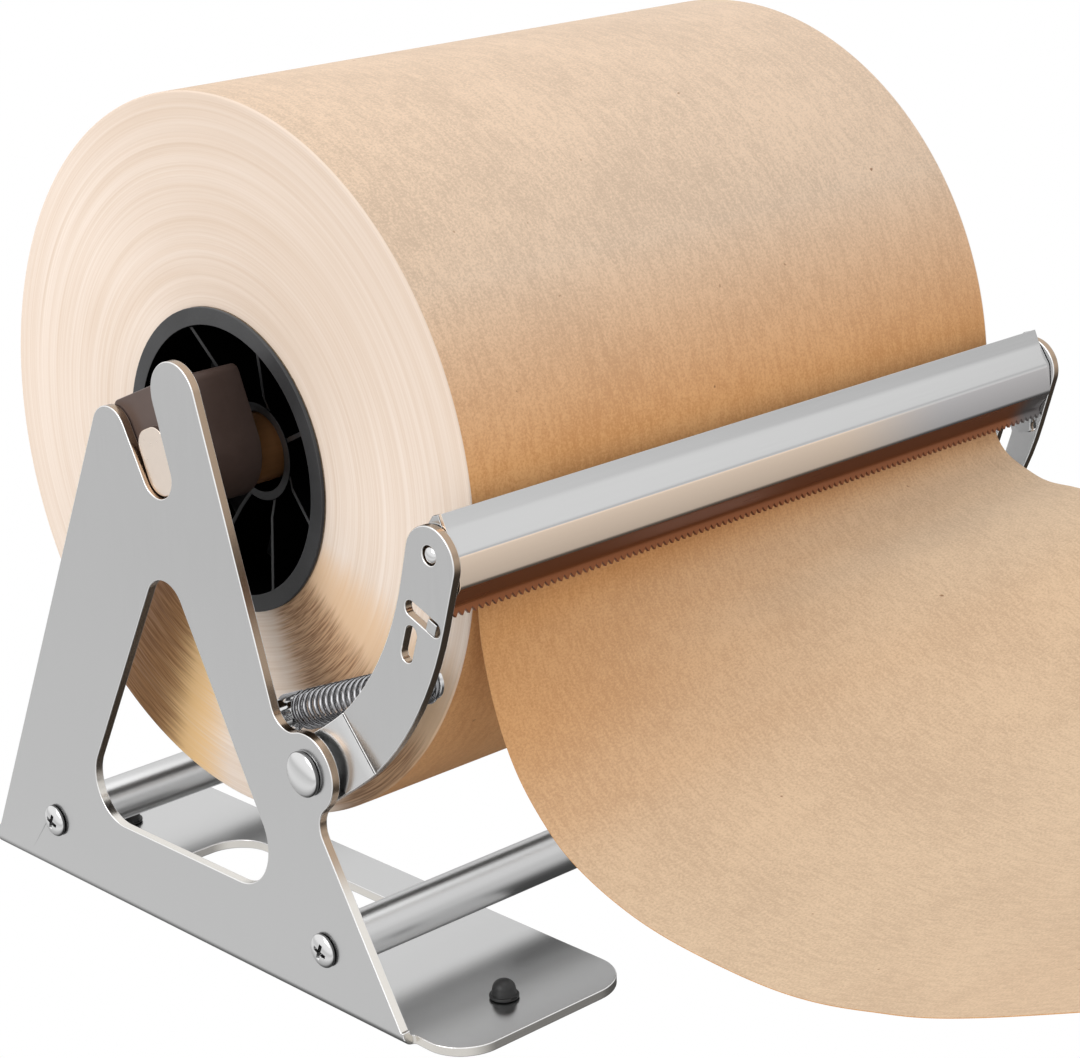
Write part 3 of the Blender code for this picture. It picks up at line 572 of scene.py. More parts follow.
def board(name):
    """Grey-brown wound board."""
    material, tree, shader = new_material(name)
    place = mapped(tree)
    tone = noise(tree, stretch(tree, place, (60.0, 900.0, 900.0)), 1.0, 4.0, 0.6)
    colour = mix(tree, spread(tree, tone, 0.35, 0.65), (0.26, 0.17, 0.10), (0.44, 0.32, 0.21))
    feed(tree, shader, Base_Color=colour, Roughness=0.85, Normal=bump(tree, tone, 0.3, 0.0002))
    return material


SHEET_METAL = steel("satin_steel", (0.62, 0.62, 0.62), 0.24, (900.0, 900.0, 40.0))
# Cut edges: paler steel that turns brown from 38 to 54 mm up, a painted reflection of the paper
CUT_EDGE = steel("cut_edge", (0.80, 0.77, 0.72), 0.24, (60.0, 1400.0, 1400.0),
                 change=("Z", 38.0, 54.0, (0.46, 0.345, 0.25)))
# Painted highlight: a paler, glossier steel on the rounded edges of plates and arms, for their bright edge
# lines
EDGE_PAINTED_HIGHLIGHT = steel("edge_painted_highlight", (0.90, 0.89, 0.88), 0.14, (500.0, 500.0, 500.0))
PLATE_METALS = [SHEET_METAL, CUT_EDGE, EDGE_PAINTED_HIGHLIGHT]
# Painted shade: near-black steel in the arm's pressed crease, for the shade that falls in the bend
DARK_CREASE_SHADE = steel("crease_painted_shade", (0.05, 0.05, 0.05), 0.35, (500.0, 500.0, 500.0))
BAR_METAL = steel("bar_steel", (0.63, 0.63, 0.63), 0.16, (25.0, 1500.0, 1500.0))
# Painted reflection: the facet above the lip is light bronze for the paper mirrored in it, turning grey from
# 20 to 80 mm along X
FACET_PAINTED_REFLECTION = steel("bar_facet_painted_reflection", (1.0, 0.80, 0.64), 0.20, (25.0, 1500.0, 1500.0),
                  change=("X", 20.0, 80.0, (0.70, 0.68, 0.68)))
# Painted reflection: the lip is dark brown for the shaded sheet mirrored in it, turning dark grey from 112 to
# 124 mm along X
LIP_PAINTED_REFLECTION = steel("bar_lip_painted_reflection", (0.26, 0.085, 0.028), 0.28, (25.0, 1500.0, 1500.0), metal=0.6,
                  change=("X", 112.0, 124.0, (0.15, 0.14, 0.14)))
ROUND_METAL = steel("round_bar", (0.63, 0.63, 0.63), 0.32, (12.0, 1300.0, 1300.0))
BRIGHT_METAL = steel("bright_steel", (0.76, 0.76, 0.76), 0.10, (500.0, 500.0, 500.0))
# Painted shade: dark steel on screw and rivet rims and inside the screw recesses
SHADED_METAL = steel("shaded_steel", (0.16, 0.16, 0.16), 0.25, (500.0, 500.0, 500.0))
BLOCK_METAL = steel("bronzed_block", (0.100, 0.066, 0.055), 0.34, (300.0, 300.0, 300.0), lift=0.10,
                    metal=0.25)
TONGUE_METAL = steel("tongue_end", (0.92, 0.80, 0.70), 0.28, (400.0, 400.0, 400.0))
AXLE_METAL = steel("bronzed_axle", (0.36, 0.16, 0.06), 0.30, (30.0, 900.0, 900.0), lift=0.12, metal=0.55)
# Painted shade: the spring wire is darker than the other steel, for the dark insides of the coils
WIRE_METAL = steel("spring_wire", (0.32, 0.32, 0.33), 0.12, (700.0, 700.0, 700.0))
POLYMER = moulded("black_polymer", (0.026, 0.026, 0.027), 0.45, 1800.0, 0.00006)
# Painted shade: near-black, almost unreflecting polymer inside the plugs' recesses
RECESS_SHADE_BLACK = moulded("plug_recess_painted_shade", (0.0004, 0.0004, 0.0004), 0.6, 1500.0, 0.00004, gloss=0.03)
RUBBER = moulded("foot_rubber", (0.012, 0.012, 0.012), 0.50, 1200.0, 0.00008)
# The third colour of each kraft paper is its painted sheen, where it faces up
KRAFT_ROLL = kraft("kraft_roll", (0.71, 0.375, 0.150), (0.59, 0.280, 0.095),
                   (0.63, 0.470, 0.340), 0.14, 0.58, (500.0, 120.0, 120.0))
KRAFT_SHEET = kraft("kraft_sheet", (0.66, 0.350, 0.140), (0.54, 0.260, 0.090),
                    (0.530, 0.445, 0.335), 0.14, 1.33, (620.0, 160.0, 300.0), "UV")
ROLL_END = roll_end("roll_end")
BOARD = board("core_board")


# ---- side plates

def plate_silhouette():
    """Outline of a side plate in (y, z), with its pivot lobe, its two horns and its open slot."""
    top = Vector(FRONT_HORN[:2])
    foot = Vector((PLATE_FRONT_FOOT, 0.0))
    span = foot - top
    slope = math.atan2(span.y, span.x) - math.asin(FRONT_HORN[2] / span.length)
    down = Vector((math.cos(slope), math.sin(slope)))
    outward = Vector((down.y, -down.x))
    pivot = Vector(PIVOT)
    depth = (pivot - foot).dot(outward)
    reach = math.sqrt((LOBE_RADIUS + LOBE_FILLET) ** 2 - (LOBE_FILLET - depth) ** 2)
    edge = pivot - outward * depth
    upper = edge - down * reach + outward * LOBE_FILLET
    lower = edge + down * reach + outward * LOBE_FILLET
    step = 5.0
    return belt([
        (FLANGE_REAR - 1.0, -5.0, 1.0, 1),
        (FLANGE_REAR - 1.5, step + 0.5, 1.5, 1),
        (112.4, 10.4, 2.0, -1),
        (*REAR_HORN, 1),
        (*AXLE, SLOT_RADIUS, -1),
        (*FRONT_HORN, 1),
        (*upper, LOBE_FILLET, -1),
        (*pivot, LOBE_RADIUS, 1),
        (*lower, LOBE_FILLET, -1),
        (PLATE_FRONT_FOOT + 0.9, step + 0.4, 0.4, -1),
        (FLANGE_FRONT - 3.0, step - 1.0, 1.0, 1),
        (FLANGE_FRONT - 3.0, -5.0, 1.0, 1),
    ])


def plan_silhouette():
    """Outline of a folded side in (x, y) for the left side, with the bend relief at the front."""
    inner = -FLANGE_EDGE - FLANGE_CORNER
    return belt([
        (-122.5, FLANGE_FRONT + 14.0, 14.0, 1),
        (inner, FLANGE_FRONT + FLANGE_CORNER, FLANGE_CORNER, 1),
        (inner, FLANGE_REAR - FLANGE_CORNER, FLANGE_CORNER, 1),
        (-PLATE_OUTER + 2.0, FLANGE_REAR - 2.0, 2.0, 1),
        (-PLATE_OUTER + 0.4, PLATE_FRONT_FOOT + 0.4, 0.4, 1),
        (-PLATE_INNER + 0.6, PLATE_FRONT_FOOT - 0.6, 1.0, -1),
    ])


def fold_profile():
    """Section of the folded sheet in (x, z) for the right side."""
    bend_outer = BEND_INNER + SHEET_STEEL
    centre = (PLATE_OUTER - bend_outer, bend_outer)
    arc = [math.radians(-90.0 + 90.0 * index / 12) for index in range(13)]
    outer, inner = ([(centre[0] + radius * math.cos(a), centre[1] + radius * math.sin(a)) for a in arc]
                    for radius in (bend_outer, BEND_INNER))
    top = 230.0
    start = FLANGE_EDGE - 5.0
    return [(start, 0.0), *outer, (PLATE_OUTER, top), (PLATE_INNER, top), *reversed(inner),
            (start, SHEET_STEEL)]


def plate_face(face):
    """0 on the rolled surfaces of a folded plate and 1 on its cut edges."""
    bend = BEND_INNER + SHEET_STEEL
    centre, normal = face.calc_center_median(), face.normal
    if centre.z > bend:
        return 0 if abs(normal.x) > 0.7 else 1
    if abs(centre.x) < PLATE_OUTER - bend:
        return 0 if abs(normal.z) > 0.7 else 1
    return 0 if abs(normal.y) < 0.5 else 1


def add_side_plate(name, side):
    section = [(side * x, z) for x, z in fold_profile()]
    near, far = side * (FLANGE_EDGE - 10.0), side * (PLATE_OUTER + 10.0)
    plan = [(-side * x, y) for x, y in plan_silhouette()]
    through = (side * (PLATE_INNER - 3.0), side * (PLATE_OUTER + 3.0))
    low, high = sorted(side * value for value in BASE_WINDOW_X)
    holes = bmesh.new()
    for y, z in TIE_BARS.values():
        prism(circle_outline(y, z, SCREW_BORE), "X", *through, body=holes)
    prism(circle_outline(*PIVOT, PIVOT_BORE), "X", *through, body=holes)
    for y in FOOT_Y:
        prism(circle_outline(side * FOOT_X, y, FOOT_BORE), "Z", -4.0, 8.0, body=holes)
    window = belt([(*corner, 1) for corner in WINDOW])
    base = rounded_box(low, high, *BASE_WINDOW_Y, BASE_WINDOW_CORNER)
    plate = carved(prism(section, "Y", -140.0, 130.0),
                   ('INTERSECT', prism(plate_silhouette(), "X", near, far)),
                   ('INTERSECT', prism(plan, "Z", -20.0, 240.0)),
                   ('DIFFERENCE', prism(window, "X", *through)),
                   ('DIFFERENCE', prism(base, "Z", -4.0, 8.0)),
                   ('DIFFERENCE', holes))
    make_piece("folded_side_" + name, plate, PLATE_METALS, "frame", "side_plate_" + name,
               bevel=PLATE_ROUNDING, choose=plate_face, bevel_highlight_slot=2)


# ---- frame pieces

def add_tie_bar(name, y, z):
    end, rim = PLATE_INNER - GAP, 0.6
    turns = [math.radians(value) for value in (0, 30, 60, 90)]
    bore = SCREW_DEPTH + 1.5
    half = [(-end + bore + 1.5, 0.0), (-end + bore, SCREW_BORE), (-end, SCREW_BORE)]
    half += [(-end + rim * (1.0 - math.cos(t)), TIE_BAR_RADIUS - rim + rim * math.sin(t)) for t in turns]
    make_piece("round_tie_bar_" + name, turned(mirrored(half), "X", (y, z), 72), [ROUND_METAL], "frame",
               "tie_bar_" + name)


def add_screw(row, name, side, y, z):
    """Pan-head screw with a cross recess whose arms narrow towards the bottom."""
    seat = PLATE_OUTER + GAP
    tip = PLATE_INNER - SCREW_DEPTH
    profile = [(tip, 0.0), (tip, SCREW_SHANK - 0.6), (tip + 0.8, SCREW_SHANK), (seat, SCREW_SHANK),
               (seat, SCREW_HEAD - 0.25), (seat + 0.2, SCREW_HEAD),
               *dome(seat + 0.6, SCREW_DOME - 0.6, SCREW_HEAD)]
    recess = bmesh.new()
    turn = math.radians(20.0)
    cosine, sine = math.cos(turn), math.sin(turn)
    top, depth = seat + SCREW_DOME, 2.0
    rings = []
    for along, arm, half in ((top + 0.6, 3.3, 0.75), (top - depth, 1.5, 0.4)):
        cross = [(half, half), (half, arm), (-half, arm), (-half, half), (-arm, half), (-arm, -half)]
        cross += [(-u, -v) for u, v in cross]
        rings.append([recess.verts.new((side * along, y + u * cosine - v * sine, z + u * sine + v * cosine))
                      for u, v in cross])
    loft(recess, rings)
    screw = carved(turned(sided(side, profile), "X", (y, z), 48), ('DIFFERENCE', recess))

    def screw_face(face):
        """1 on the rim and inside the recess, which take dark steel as painted shade, and 0 on the dome."""
        return 1 if abs(face.normal.x) < 0.45 or side * face.calc_center_median().x < seat + 0.3 else 0

    make_piece(f"pan_head_screw_{row}_{name}", screw, [BRIGHT_METAL, SHADED_METAL], "frame",
               f"tie_bar_screw_{row}_{name}", bevel=0.1, choose=screw_face, smooth=28.0)


def add_rivet(name, side):
    seat = PLATE_OUTER + GAP
    tail = ARM_OUTER + ARM_JOGGLE - ARM_STEEL - GAP
    profile = [(tail - 1.6, 0.0), (tail - 1.6, 4.0), (tail - 1.3, 4.5), (tail - 0.4, 4.8), (tail, 4.8),
               (tail, RIVET_SHANK), (seat, RIVET_SHANK), (seat, RIVET_HEAD - 0.3),
               (seat + 0.15, RIVET_HEAD - 0.1), (seat + 0.4, RIVET_HEAD),
               *dome(seat + 0.9, RIVET_DOME - 0.9, RIVET_HEAD, 14)]

    def rivet_face(face):
        """1 on the head's rim, which takes dark steel as painted shade, and 0 elsewhere."""
        return 1 if abs(face.normal.x) < 0.6 and side * face.calc_center_median().x > seat else 0

    rivet = turned(sided(side, profile), "X", PIVOT, 64)
    make_piece("dome_rivet_" + name, rivet, [BRIGHT_METAL, SHADED_METAL], "frame", "pivot_rivet_" + name,
               choose=rivet_face)


def add_washer(name, side):
    outer, inner = PLATE_INNER - GAP, ARM_OUTER + ARM_JOGGLE + GAP
    edge, rim = WASHER_RADIUS, 0.15
    profile = [(outer, PIVOT_BORE), (outer, edge - rim), (outer - rim, edge), (inner + rim, edge),
               (inner, edge - rim), (inner, PIVOT_BORE)]
    washer = turned(sided(side, profile), "X", PIVOT, 64, hollow=True)
    make_piece("spacer_washer_" + name, washer, [BRIGHT_METAL], "frame", "pivot_washer_" + name)


def add_foot(row, name, side, y):
    """Push-in rubber foot: disc below the flange, and a notched collar and dome above it."""
    top = SHEET_STEEL
    profile = [(-FOOT_HEIGHT, 0.0), (-FOOT_HEIGHT, FOOT_RADIUS - 0.8),
               (-FOOT_HEIGHT + 0.3, FOOT_RADIUS - 0.25),
               (-FOOT_HEIGHT + 0.9, FOOT_RADIUS), (-GAP - 0.3, FOOT_RADIUS), (-GAP, FOOT_RADIUS - 0.3),
               (-GAP, FOOT_NECK), (top + GAP, FOOT_NECK), (top + GAP, 4.4), (top + 0.5, 4.6),
               (top + 1.1, 4.6), (top + 1.3, 4.4), (top + 1.35, 3.85), (top + 2.8, 3.7),
               *dome(top + 3.0, 3.0, 3.6)]
    notch = prism(rounded_box(side * FOOT_X - 1.1, side * FOOT_X + 1.1, y - 5.4, y - 4.0, 0.3), "Z",
                  top + 0.7, top + 2.0)
    foot = carved(turned(profile, "Z", (side * FOOT_X, y), 56), ('DIFFERENCE', notch))
    make_piece(f"push_in_foot_{row}_{name}", foot, [RUBBER], "frame", f"rubber_foot_{row}_{name}",
               bevel=0.1)


def add_post(name, side, base, centre, rides, node):
    neck = SPRING_X - 1.6
    foot = POST_RADIUS + 1.4
    profile = [(base, 0.0), (base, foot - 0.2), (base - 0.2, foot), (SPRING_X + 3.4, foot),
               (SPRING_X + 2.8, POST_RADIUS + 0.3), (SPRING_X + 2.2, POST_RADIUS),
               (neck, POST_RADIUS), (neck, POST_HEAD - 0.2), (neck - 0.2, POST_HEAD), (neck - 1.2, POST_HEAD),
               (neck - 1.6, POST_HEAD - 0.6), (neck - 1.6, 0.0)]
    post = turned(sided(side, profile), "X", centre, 48)
    make_piece(name, post, [BRIGHT_METAL], rides, node)


# ---- springs

def spring_route(side):
    """Centre line of a spring: a hook round each post and the coil between them."""
    start, end = Vector(SPRING_FRAME), Vector(SPRING_ARM)
    along = (end - start).normalized()
    across = quarter_turn(along)
    if across.y < 0.0:
        across = -across
    route = []

    def hook(centre, backward, turns):
        for turn in turns:
            angle = math.radians(turn)
            point = centre + (backward * math.cos(angle) + across * math.sin(angle)) * COIL_RADIUS
            route.append(Vector((side * SPRING_X, point.x, point.y)))

    hook(start, -along, range(-150, 91, 10))
    body = (end - start).length - 2.0 * COIL_START
    total = COIL_TURNS * COIL_STEPS
    for index in range(total + 1):
        angle = math.tau * index / COIL_STEPS
        centre = start + along * (COIL_START + body * index / total)
        point = centre + across * (COIL_RADIUS * math.cos(angle))
        route.append(Vector((side * (SPRING_X + COIL_RADIUS * math.sin(angle)), point.x, point.y)))
    hook(end, along, range(90, -151, -10))
    return route


def add_spring(name, side):
    route, sides = spring_route(side), 12
    body, rings = bmesh.new(), []
    normal = Vector((1.0, 0.0, 0.0))
    for index, point in enumerate(route):
        tangent = (route[min(index + 1, len(route) - 1)] - route[max(index - 1, 0)]).normalized()
        normal = (normal - tangent * normal.dot(tangent)).normalized()
        binormal = tangent.cross(normal)
        turns = [math.tau * number / sides for number in range(sides)]
        rings.append([body.verts.new(point + (normal * math.cos(t) + binormal * math.sin(t)) * WIRE_RADIUS)
                      for t in turns])
    loft(body, rings)
    spring = make_piece("extension_spring_" + name, body, [WIRE_METAL], None, "cutter_spring_" + name)
    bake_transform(spring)


# ---- cutter

def arm_offset(run):
    """How far the arm is set outward, run millimetres past its bend line, with a pressed crease."""
    ramp = max(0.0, min(1.0, run / ARM_BEND_RUN)) * ARM_JOGGLE
    return ramp - CREASE_DEPTH * max(0.0, 1.0 - abs(run) / CREASE_HALF)


def add_arm(name, side):
    corners = [(*ARM_TOP, 1), (*ARM_FRONT_ARC, 1), (*PIVOT, ARM_LUG_RADIUS, 1), (*ARM_REAR_ARC, -1)]
    outline = belt(corners, 3.0)
    cuts = bmesh.new()
    through = (side * (ARM_OUTER - ARM_STEEL - 3.0), side * (ARM_OUTER + 3.0))
    for start, end in ARM_SLOTS:
        slot = belt([(*start, ARM_SLOT_RADIUS, 1), (*end, ARM_SLOT_RADIUS, 1)], 10.0)
        prism(slot, "X", *through, body=cuts)
    prism(circle_outline(*ARM_HOLE, ARM_HOLE_RADIUS, 40), "X", *through, body=cuts)
    prism(circle_outline(*PIVOT, PIVOT_BORE, 40), "X", *through, body=cuts)
    body = carved(prism(outline, "X", side * (ARM_OUTER - ARM_STEEL), side * ARM_OUTER), ('DIFFERENCE', cuts))
    first, second = (Vector(point) for point in ARM_BEND)
    line = (second - first).normalized()
    inward = quarter_turn(line)
    if (Vector(PIVOT) - first).dot(inward) < 0.0:
        inward = -inward
    for run in (-CREASE_HALF, 0.0, CREASE_HALF, ARM_BEND_RUN - 0.4, ARM_BEND_RUN, ARM_BEND_RUN + 0.4):
        point = first + inward * run
        bmesh.ops.bisect_plane(body, geom=body.verts[:] + body.edges[:] + body.faces[:], dist=1e-5,
                               plane_co=(0.0, point.x, point.y), plane_no=(0.0, inward.x, inward.y))

    def past_bend(place):
        return (place.yz - first).dot(inward)

    for vertex in body.verts:
        vertex.co.x += side * arm_offset(past_bend(vertex.co))

    def arm_face(face):
        """0 on the rolled faces, 1 on cut edges and 3 in the pressed crease, which takes near-black steel as
        painted shade.
        """
        if abs(face.normal.x) < 0.7:
            return 1
        return 3 if abs(past_bend(face.calc_center_median())) < 0.5 else 0

    make_piece("swing_arm_" + name, body, [*PLATE_METALS, DARK_CREASE_SHADE], "cutter", "cutter_arm_" + name,
               bevel=PLATE_ROUNDING, choose=arm_face, bevel_highlight_slot=2)


def offset_profile(points, distance):
    """The profile moved towards the roll by one thickness of sheet."""
    ways = [(Vector(after) - Vector(before)).normalized() for before, after in zip(points, points[1:])]
    result = []
    for point, first, second in zip(points, [ways[0], *ways], [*ways, ways[-1]]):
        mitre = (quarter_turn(first) + quarter_turn(second)).normalized()
        scale = 1.0 / max(0.5, mitre.dot(quarter_turn(first)))
        result.append(tuple(Vector(point) + mitre * distance * scale))
    return result


def rounded_folds(points, radius=0.9, steps=3):
    """The profile with each fold between its ends turned into a small arc."""
    result = [points[0]]
    for before, here, after in zip(points, points[1:], points[2:]):
        corner = Vector(here)
        entry = corner + (Vector(before) - corner).normalized() * radius
        leave = corner + (Vector(after) - corner).normalized() * radius
        for step in range(steps + 1):
            t = step / steps
            result.append(tuple((1 - t) ** 2 * entry + 2 * t * (1 - t) * corner + t * t * leave))
    return result + [points[-1]]


def add_bar():
    """Folded serrated bar: sharp triangular teeth along its lower lip."""
    outer = rounded_folds(BAR_PROFILE)
    inner = offset_profile(outer, BAR_STEEL)
    lip = (Vector(outer[-1]) - Vector(outer[-2])).normalized()
    pitch = 2.0 * BAR_HALF / TOOTH_COUNT
    body, rows = bmesh.new(), {}
    for key, points in (("outer", outer), ("inner", inner)):
        rows[key] = [[body.verts.new((x, *point)) for x in (-BAR_HALF, BAR_HALF)] for point in points[:-1]]
        edge = []
        for index in range(2 * TOOTH_COUNT + 1):
            place = Vector(points[-1]) - lip * (0.0 if index % 2 else TOOTH_DEPTH)
            edge.append(body.verts.new((-BAR_HALF + 0.5 * pitch * index, place.x, place.y)))
        rows[key + "_teeth"] = edge
        for first, second in zip(rows[key], rows[key][1:]):
            skin(body, first, second, closed=False)
        left, right = rows[key][-1]
        body.faces.new([left, right, *reversed(edge)])
    skin(body, rows["outer_teeth"], rows["inner_teeth"], closed=False)
    skin(body, rows["outer"][0], rows["inner"][0], closed=False)
    for end, tooth in ((0, 0), (1, -1)):
        loop = [row[end] for row in rows["outer"]] + [rows["outer_teeth"][tooth]]
        loop += [rows["inner_teeth"][tooth]] + [row[end] for row in reversed(rows["inner"])]
        body.faces.new(loop)

    def bar_face(face):
        """2 on the toothed lip, 1 on the facet above it, which faces the sheet, and 0 above that; lip and
        facet carry painted reflections of the sheet.
        """
        height = face.calc_center_median().z
        return 2 if height < BAR_PROFILE[3][1] - 0.4 else 1 if height < BAR_PROFILE[2][1] - 0.4 else 0

    make_piece("serrated_bar", body, [BAR_METAL, FACET_PAINTED_REFLECTION, LIP_PAINTED_REFLECTION], "cutter", "cutter_bar",
               bevel=0.12, choose=bar_face, smooth=40.0)


def add_end_plate(name, side):
    outer_face = ARM_OUTER - ARM_STEEL - GAP
    inner_face = outer_face - END_PLATE_STEEL
    nested = offset_profile(BAR_PROFILE, BAR_STEEL + GAP)[:5]
    outline = [*nested, (-119.6, 137.5), (-119.2, 131.0), (-115.0, 129.4), (-112.4, 133.0), (-111.6, 146.0),
               (-112.4, 160.0), (-116.0, 164.6)]
    start, end = (Vector(point) for point in ARM_SLOTS[0])
    along = (end - start).normalized()
    across = quarter_turn(along)
    centre, half = end - along, ARM_SLOT_RADIUS - 0.5
    tab = [centre + along * (half * u) + across * (half * v) for u, v in ((1, 1), (-1, 1), (-1, -1), (1, -1))]
    tongue = prism(tab, "X", side * (inner_face + 0.5), side * (ARM_OUTER + 0.4))
    hole = prism(circle_outline(*ARM_HOLE, ARM_HOLE_RADIUS, 40), "X", side * (inner_face - 2.0),
                 side * (outer_face + 1.0))
    plate = prism(outline, "X", side * inner_face, side * outer_face)
    plate = carved(plate, ('UNION', tongue), ('DIFFERENCE', hole))
    make_piece("bar_end_plate_" + name, plate, [BAR_METAL], "cutter", "cutter_end_plate_" + name,
               bevel=0.25)


def add_pin(name, side):
    seat = ARM_OUTER - ARM_STEEL - END_PLATE_STEEL - 2.0 * GAP
    profile = [(seat - 1.6, 0.0), (seat - 1.6, 3.6), (seat - 1.3, 3.9), (seat - 0.4, 4.0), (seat, 4.0),
               (seat, PIN_RADIUS), *dome(ARM_OUTER - 0.9, 1.0, PIN_RADIUS)]
    pin = turned(sided(side, profile), "X", ARM_HOLE, 48)
    make_piece("locking_pin_" + name, pin, [BRIGHT_METAL], "cutter", "cutter_pin_" + name)


# ---- axle and roll

def slot_shape(low, half, top, corner):
    """Outline in (y, z) about the axle, round below and leaning with the plate's slot."""
    points = belt([(0.0, low, half, 1), (half - corner, top - corner, corner, 1),
                   (corner - half, top - corner, corner, 1)])
    cosine, sine = math.cos(SLOT_LEAN), math.sin(SLOT_LEAN)
    return [(AXLE[0] + u * cosine + v * sine, AXLE[1] - u * sine + v * cosine) for u, v in points]


def add_axle():
    end = BLOCK_BORE_END - GAP
    profile = mirrored([(-end, 0.0), (-end, AXLE_RADIUS - 0.8), (-end + 0.8, AXLE_RADIUS)])
    make_piece("round_axle", turned(profile, "X", AXLE, 72), [AXLE_METAL], "axle", "axle")


def add_block(name, side):
    """D-shaped end block of the axle, with the tongue that drops into the plate's slot."""
    outline = slot_shape(low=3.5, half=16.5, top=26.0, corner=3.0)
    face = PLATE_INNER - GAP
    tongue = slot_shape(low=0.0, half=SLOT_RADIUS - GAP - 0.1, top=14.3, corner=5.5)
    bore = circle_outline(*AXLE, AXLE_RADIUS + GAP, 72)
    block = carved(prism(outline, "X", side * BLOCK_IN, side * face),
                   ('UNION', prism(tongue, "X", side * (face - 3.0), side * TONGUE_OUT)),
                   ('DIFFERENCE', prism(bore, "X", side * (BLOCK_IN - 2.0), side * BLOCK_BORE_END)))

    def tongue_face(item):
        return 1 if abs(item.normal.x) > 0.7 and abs(item.calc_center_median().x) > TONGUE_OUT - 0.2 else 0

    make_piece("axle_end_block_" + name, block, [BLOCK_METAL, TONGUE_METAL], "axle", "axle_block_" + name,
               bevel=0.35, choose=tongue_face)


def add_roll():
    """Wound paper, with faint steps between its layers on both ends."""
    draw = random.Random(7)
    rim, steps = 0.7, 90
    span = ROLL_RADIUS - rim - ROLL_BORE
    right = [(ROLL_HALF - draw.uniform(0.0, 0.09), ROLL_BORE + span * index / steps)
             for index in range(steps + 1)]
    for turn in (20, 45, 70, 90):
        angle = math.radians(turn)
        right.append((ROLL_HALF - rim + rim * math.cos(angle), ROLL_RADIUS - rim + rim * math.sin(angle)))
    body = turned(mirrored(right), "X", ROLL_CENTRE, 240, hollow=True)

    def roll_face(face):
        """1 on the cut ends with their rims and 0 on the outer layer."""
        return 1 if abs(face.calc_center_median().x) > ROLL_HALF - rim - 0.2 else 0

    paper = make_piece("wound_paper", body, [KRAFT_ROLL, ROLL_END], "roll", "paper_roll",
                       choose=roll_face)
    paper.visible_glossy = False
    core = mirrored([(-ROLL_HALF, CORE_INNER), (-ROLL_HALF, CORE_OUTER)])
    make_piece("wound_core", turned(core, "X", ROLL_CENTRE, 120, hollow=True), [BOARD], "roll", "core_tube")


def add_plug(name, side):
    """Ribbed plug pushed into the core; depths run inward from the roll's end face."""
    wall, lip, boss, web = 42.5, ROLL_BORE, 15.7, 24.0
    barrel = CORE_INNER - GAP
    shape = [(12.0, PLUG_BORE), (12.0, boss), (web, boss), (web, wall), (-1.5, wall), (-1.5, lip),
             (-GAP, lip), (-GAP, barrel), (web + 2.5, barrel), (web + 2.5, PLUG_BORE)]
    ribs = bmesh.new()
    half = 0.8
    inner, outer = boss - 0.8, wall + 0.6
    section = [(inner, 13.0), (inner + 6.0, 9.5), (outer, 1.5), (outer, web + 0.8), (inner, web + 0.8)]
    for index in range(PLUG_RIBS):
        angle = math.tau * (index + 0.5) / PLUG_RIBS
        radial = Vector((math.cos(angle), math.sin(angle)))
        tangent = quarter_turn(radial)
        sheets = [[ribs.verts.new((side * (ROLL_HALF - depth),
                                   *(Vector(ROLL_CENTRE) + radial * radius + tangent * shift)))
                   for radius, depth in section] for shift in (-half, half)]
        loft(ribs, sheets)
    profile = [(side * (ROLL_HALF - depth), radius) for depth, radius in shape]
    plug = carved(turned(profile, "X", ROLL_CENTRE, 96, hollow=True), ('UNION', ribs))

    def plug_face(face):
        """1 inside the recess, which takes near-black polymer as painted shade, and 0 on the rim and on the
        ribs' outer edges.
        """
        centre = face.calc_center_median()
        reach = math.hypot(centre.y - ROLL_CENTRE[0], centre.z - ROLL_CENTRE[1])
        return 0 if abs(centre.x) > ROLL_HALF - 0.4 or reach > wall + 0.3 or face.normal.x * side > 0.5 else 1

    make_piece("ribbed_plug_" + name, plug, [POLYMER, RECESS_SHADE_BLACK], "roll", "hub_plug_" + name,
               bevel=0.3, choose=plug_face)


# ---- free sheet

def even_edge(points, length, stations):
    """Evenly spaced points along a Catmull-Rom curve, cut at the given length."""
    knots = [Vector(point) for point in points]
    knots = [2 * knots[0] - knots[1], *knots, 2 * knots[-1] - knots[-2]]
    fine = []
    for p0, p1, p2, p3 in zip(knots, knots[1:], knots[2:], knots[3:]):
        for step in range(24):
            t = step / 24
            fine.append(0.5 * (2 * p1 + (p2 - p0) * t + (2 * p0 - 5 * p1 + 4 * p2 - p3) * t * t
                               + (3 * p1 - p0 - 3 * p2 + p3) * t ** 3))
    result, travelled, target = [], 0.0, 0.0
    for before, after in zip(fine, fine[1:]):
        span = (after - before).length
        while travelled + span >= target and len(result) <= stations:
            result.append(before.lerp(after, (target - travelled) / span))
            target = length * len(result) / stations
        travelled += span
    return result


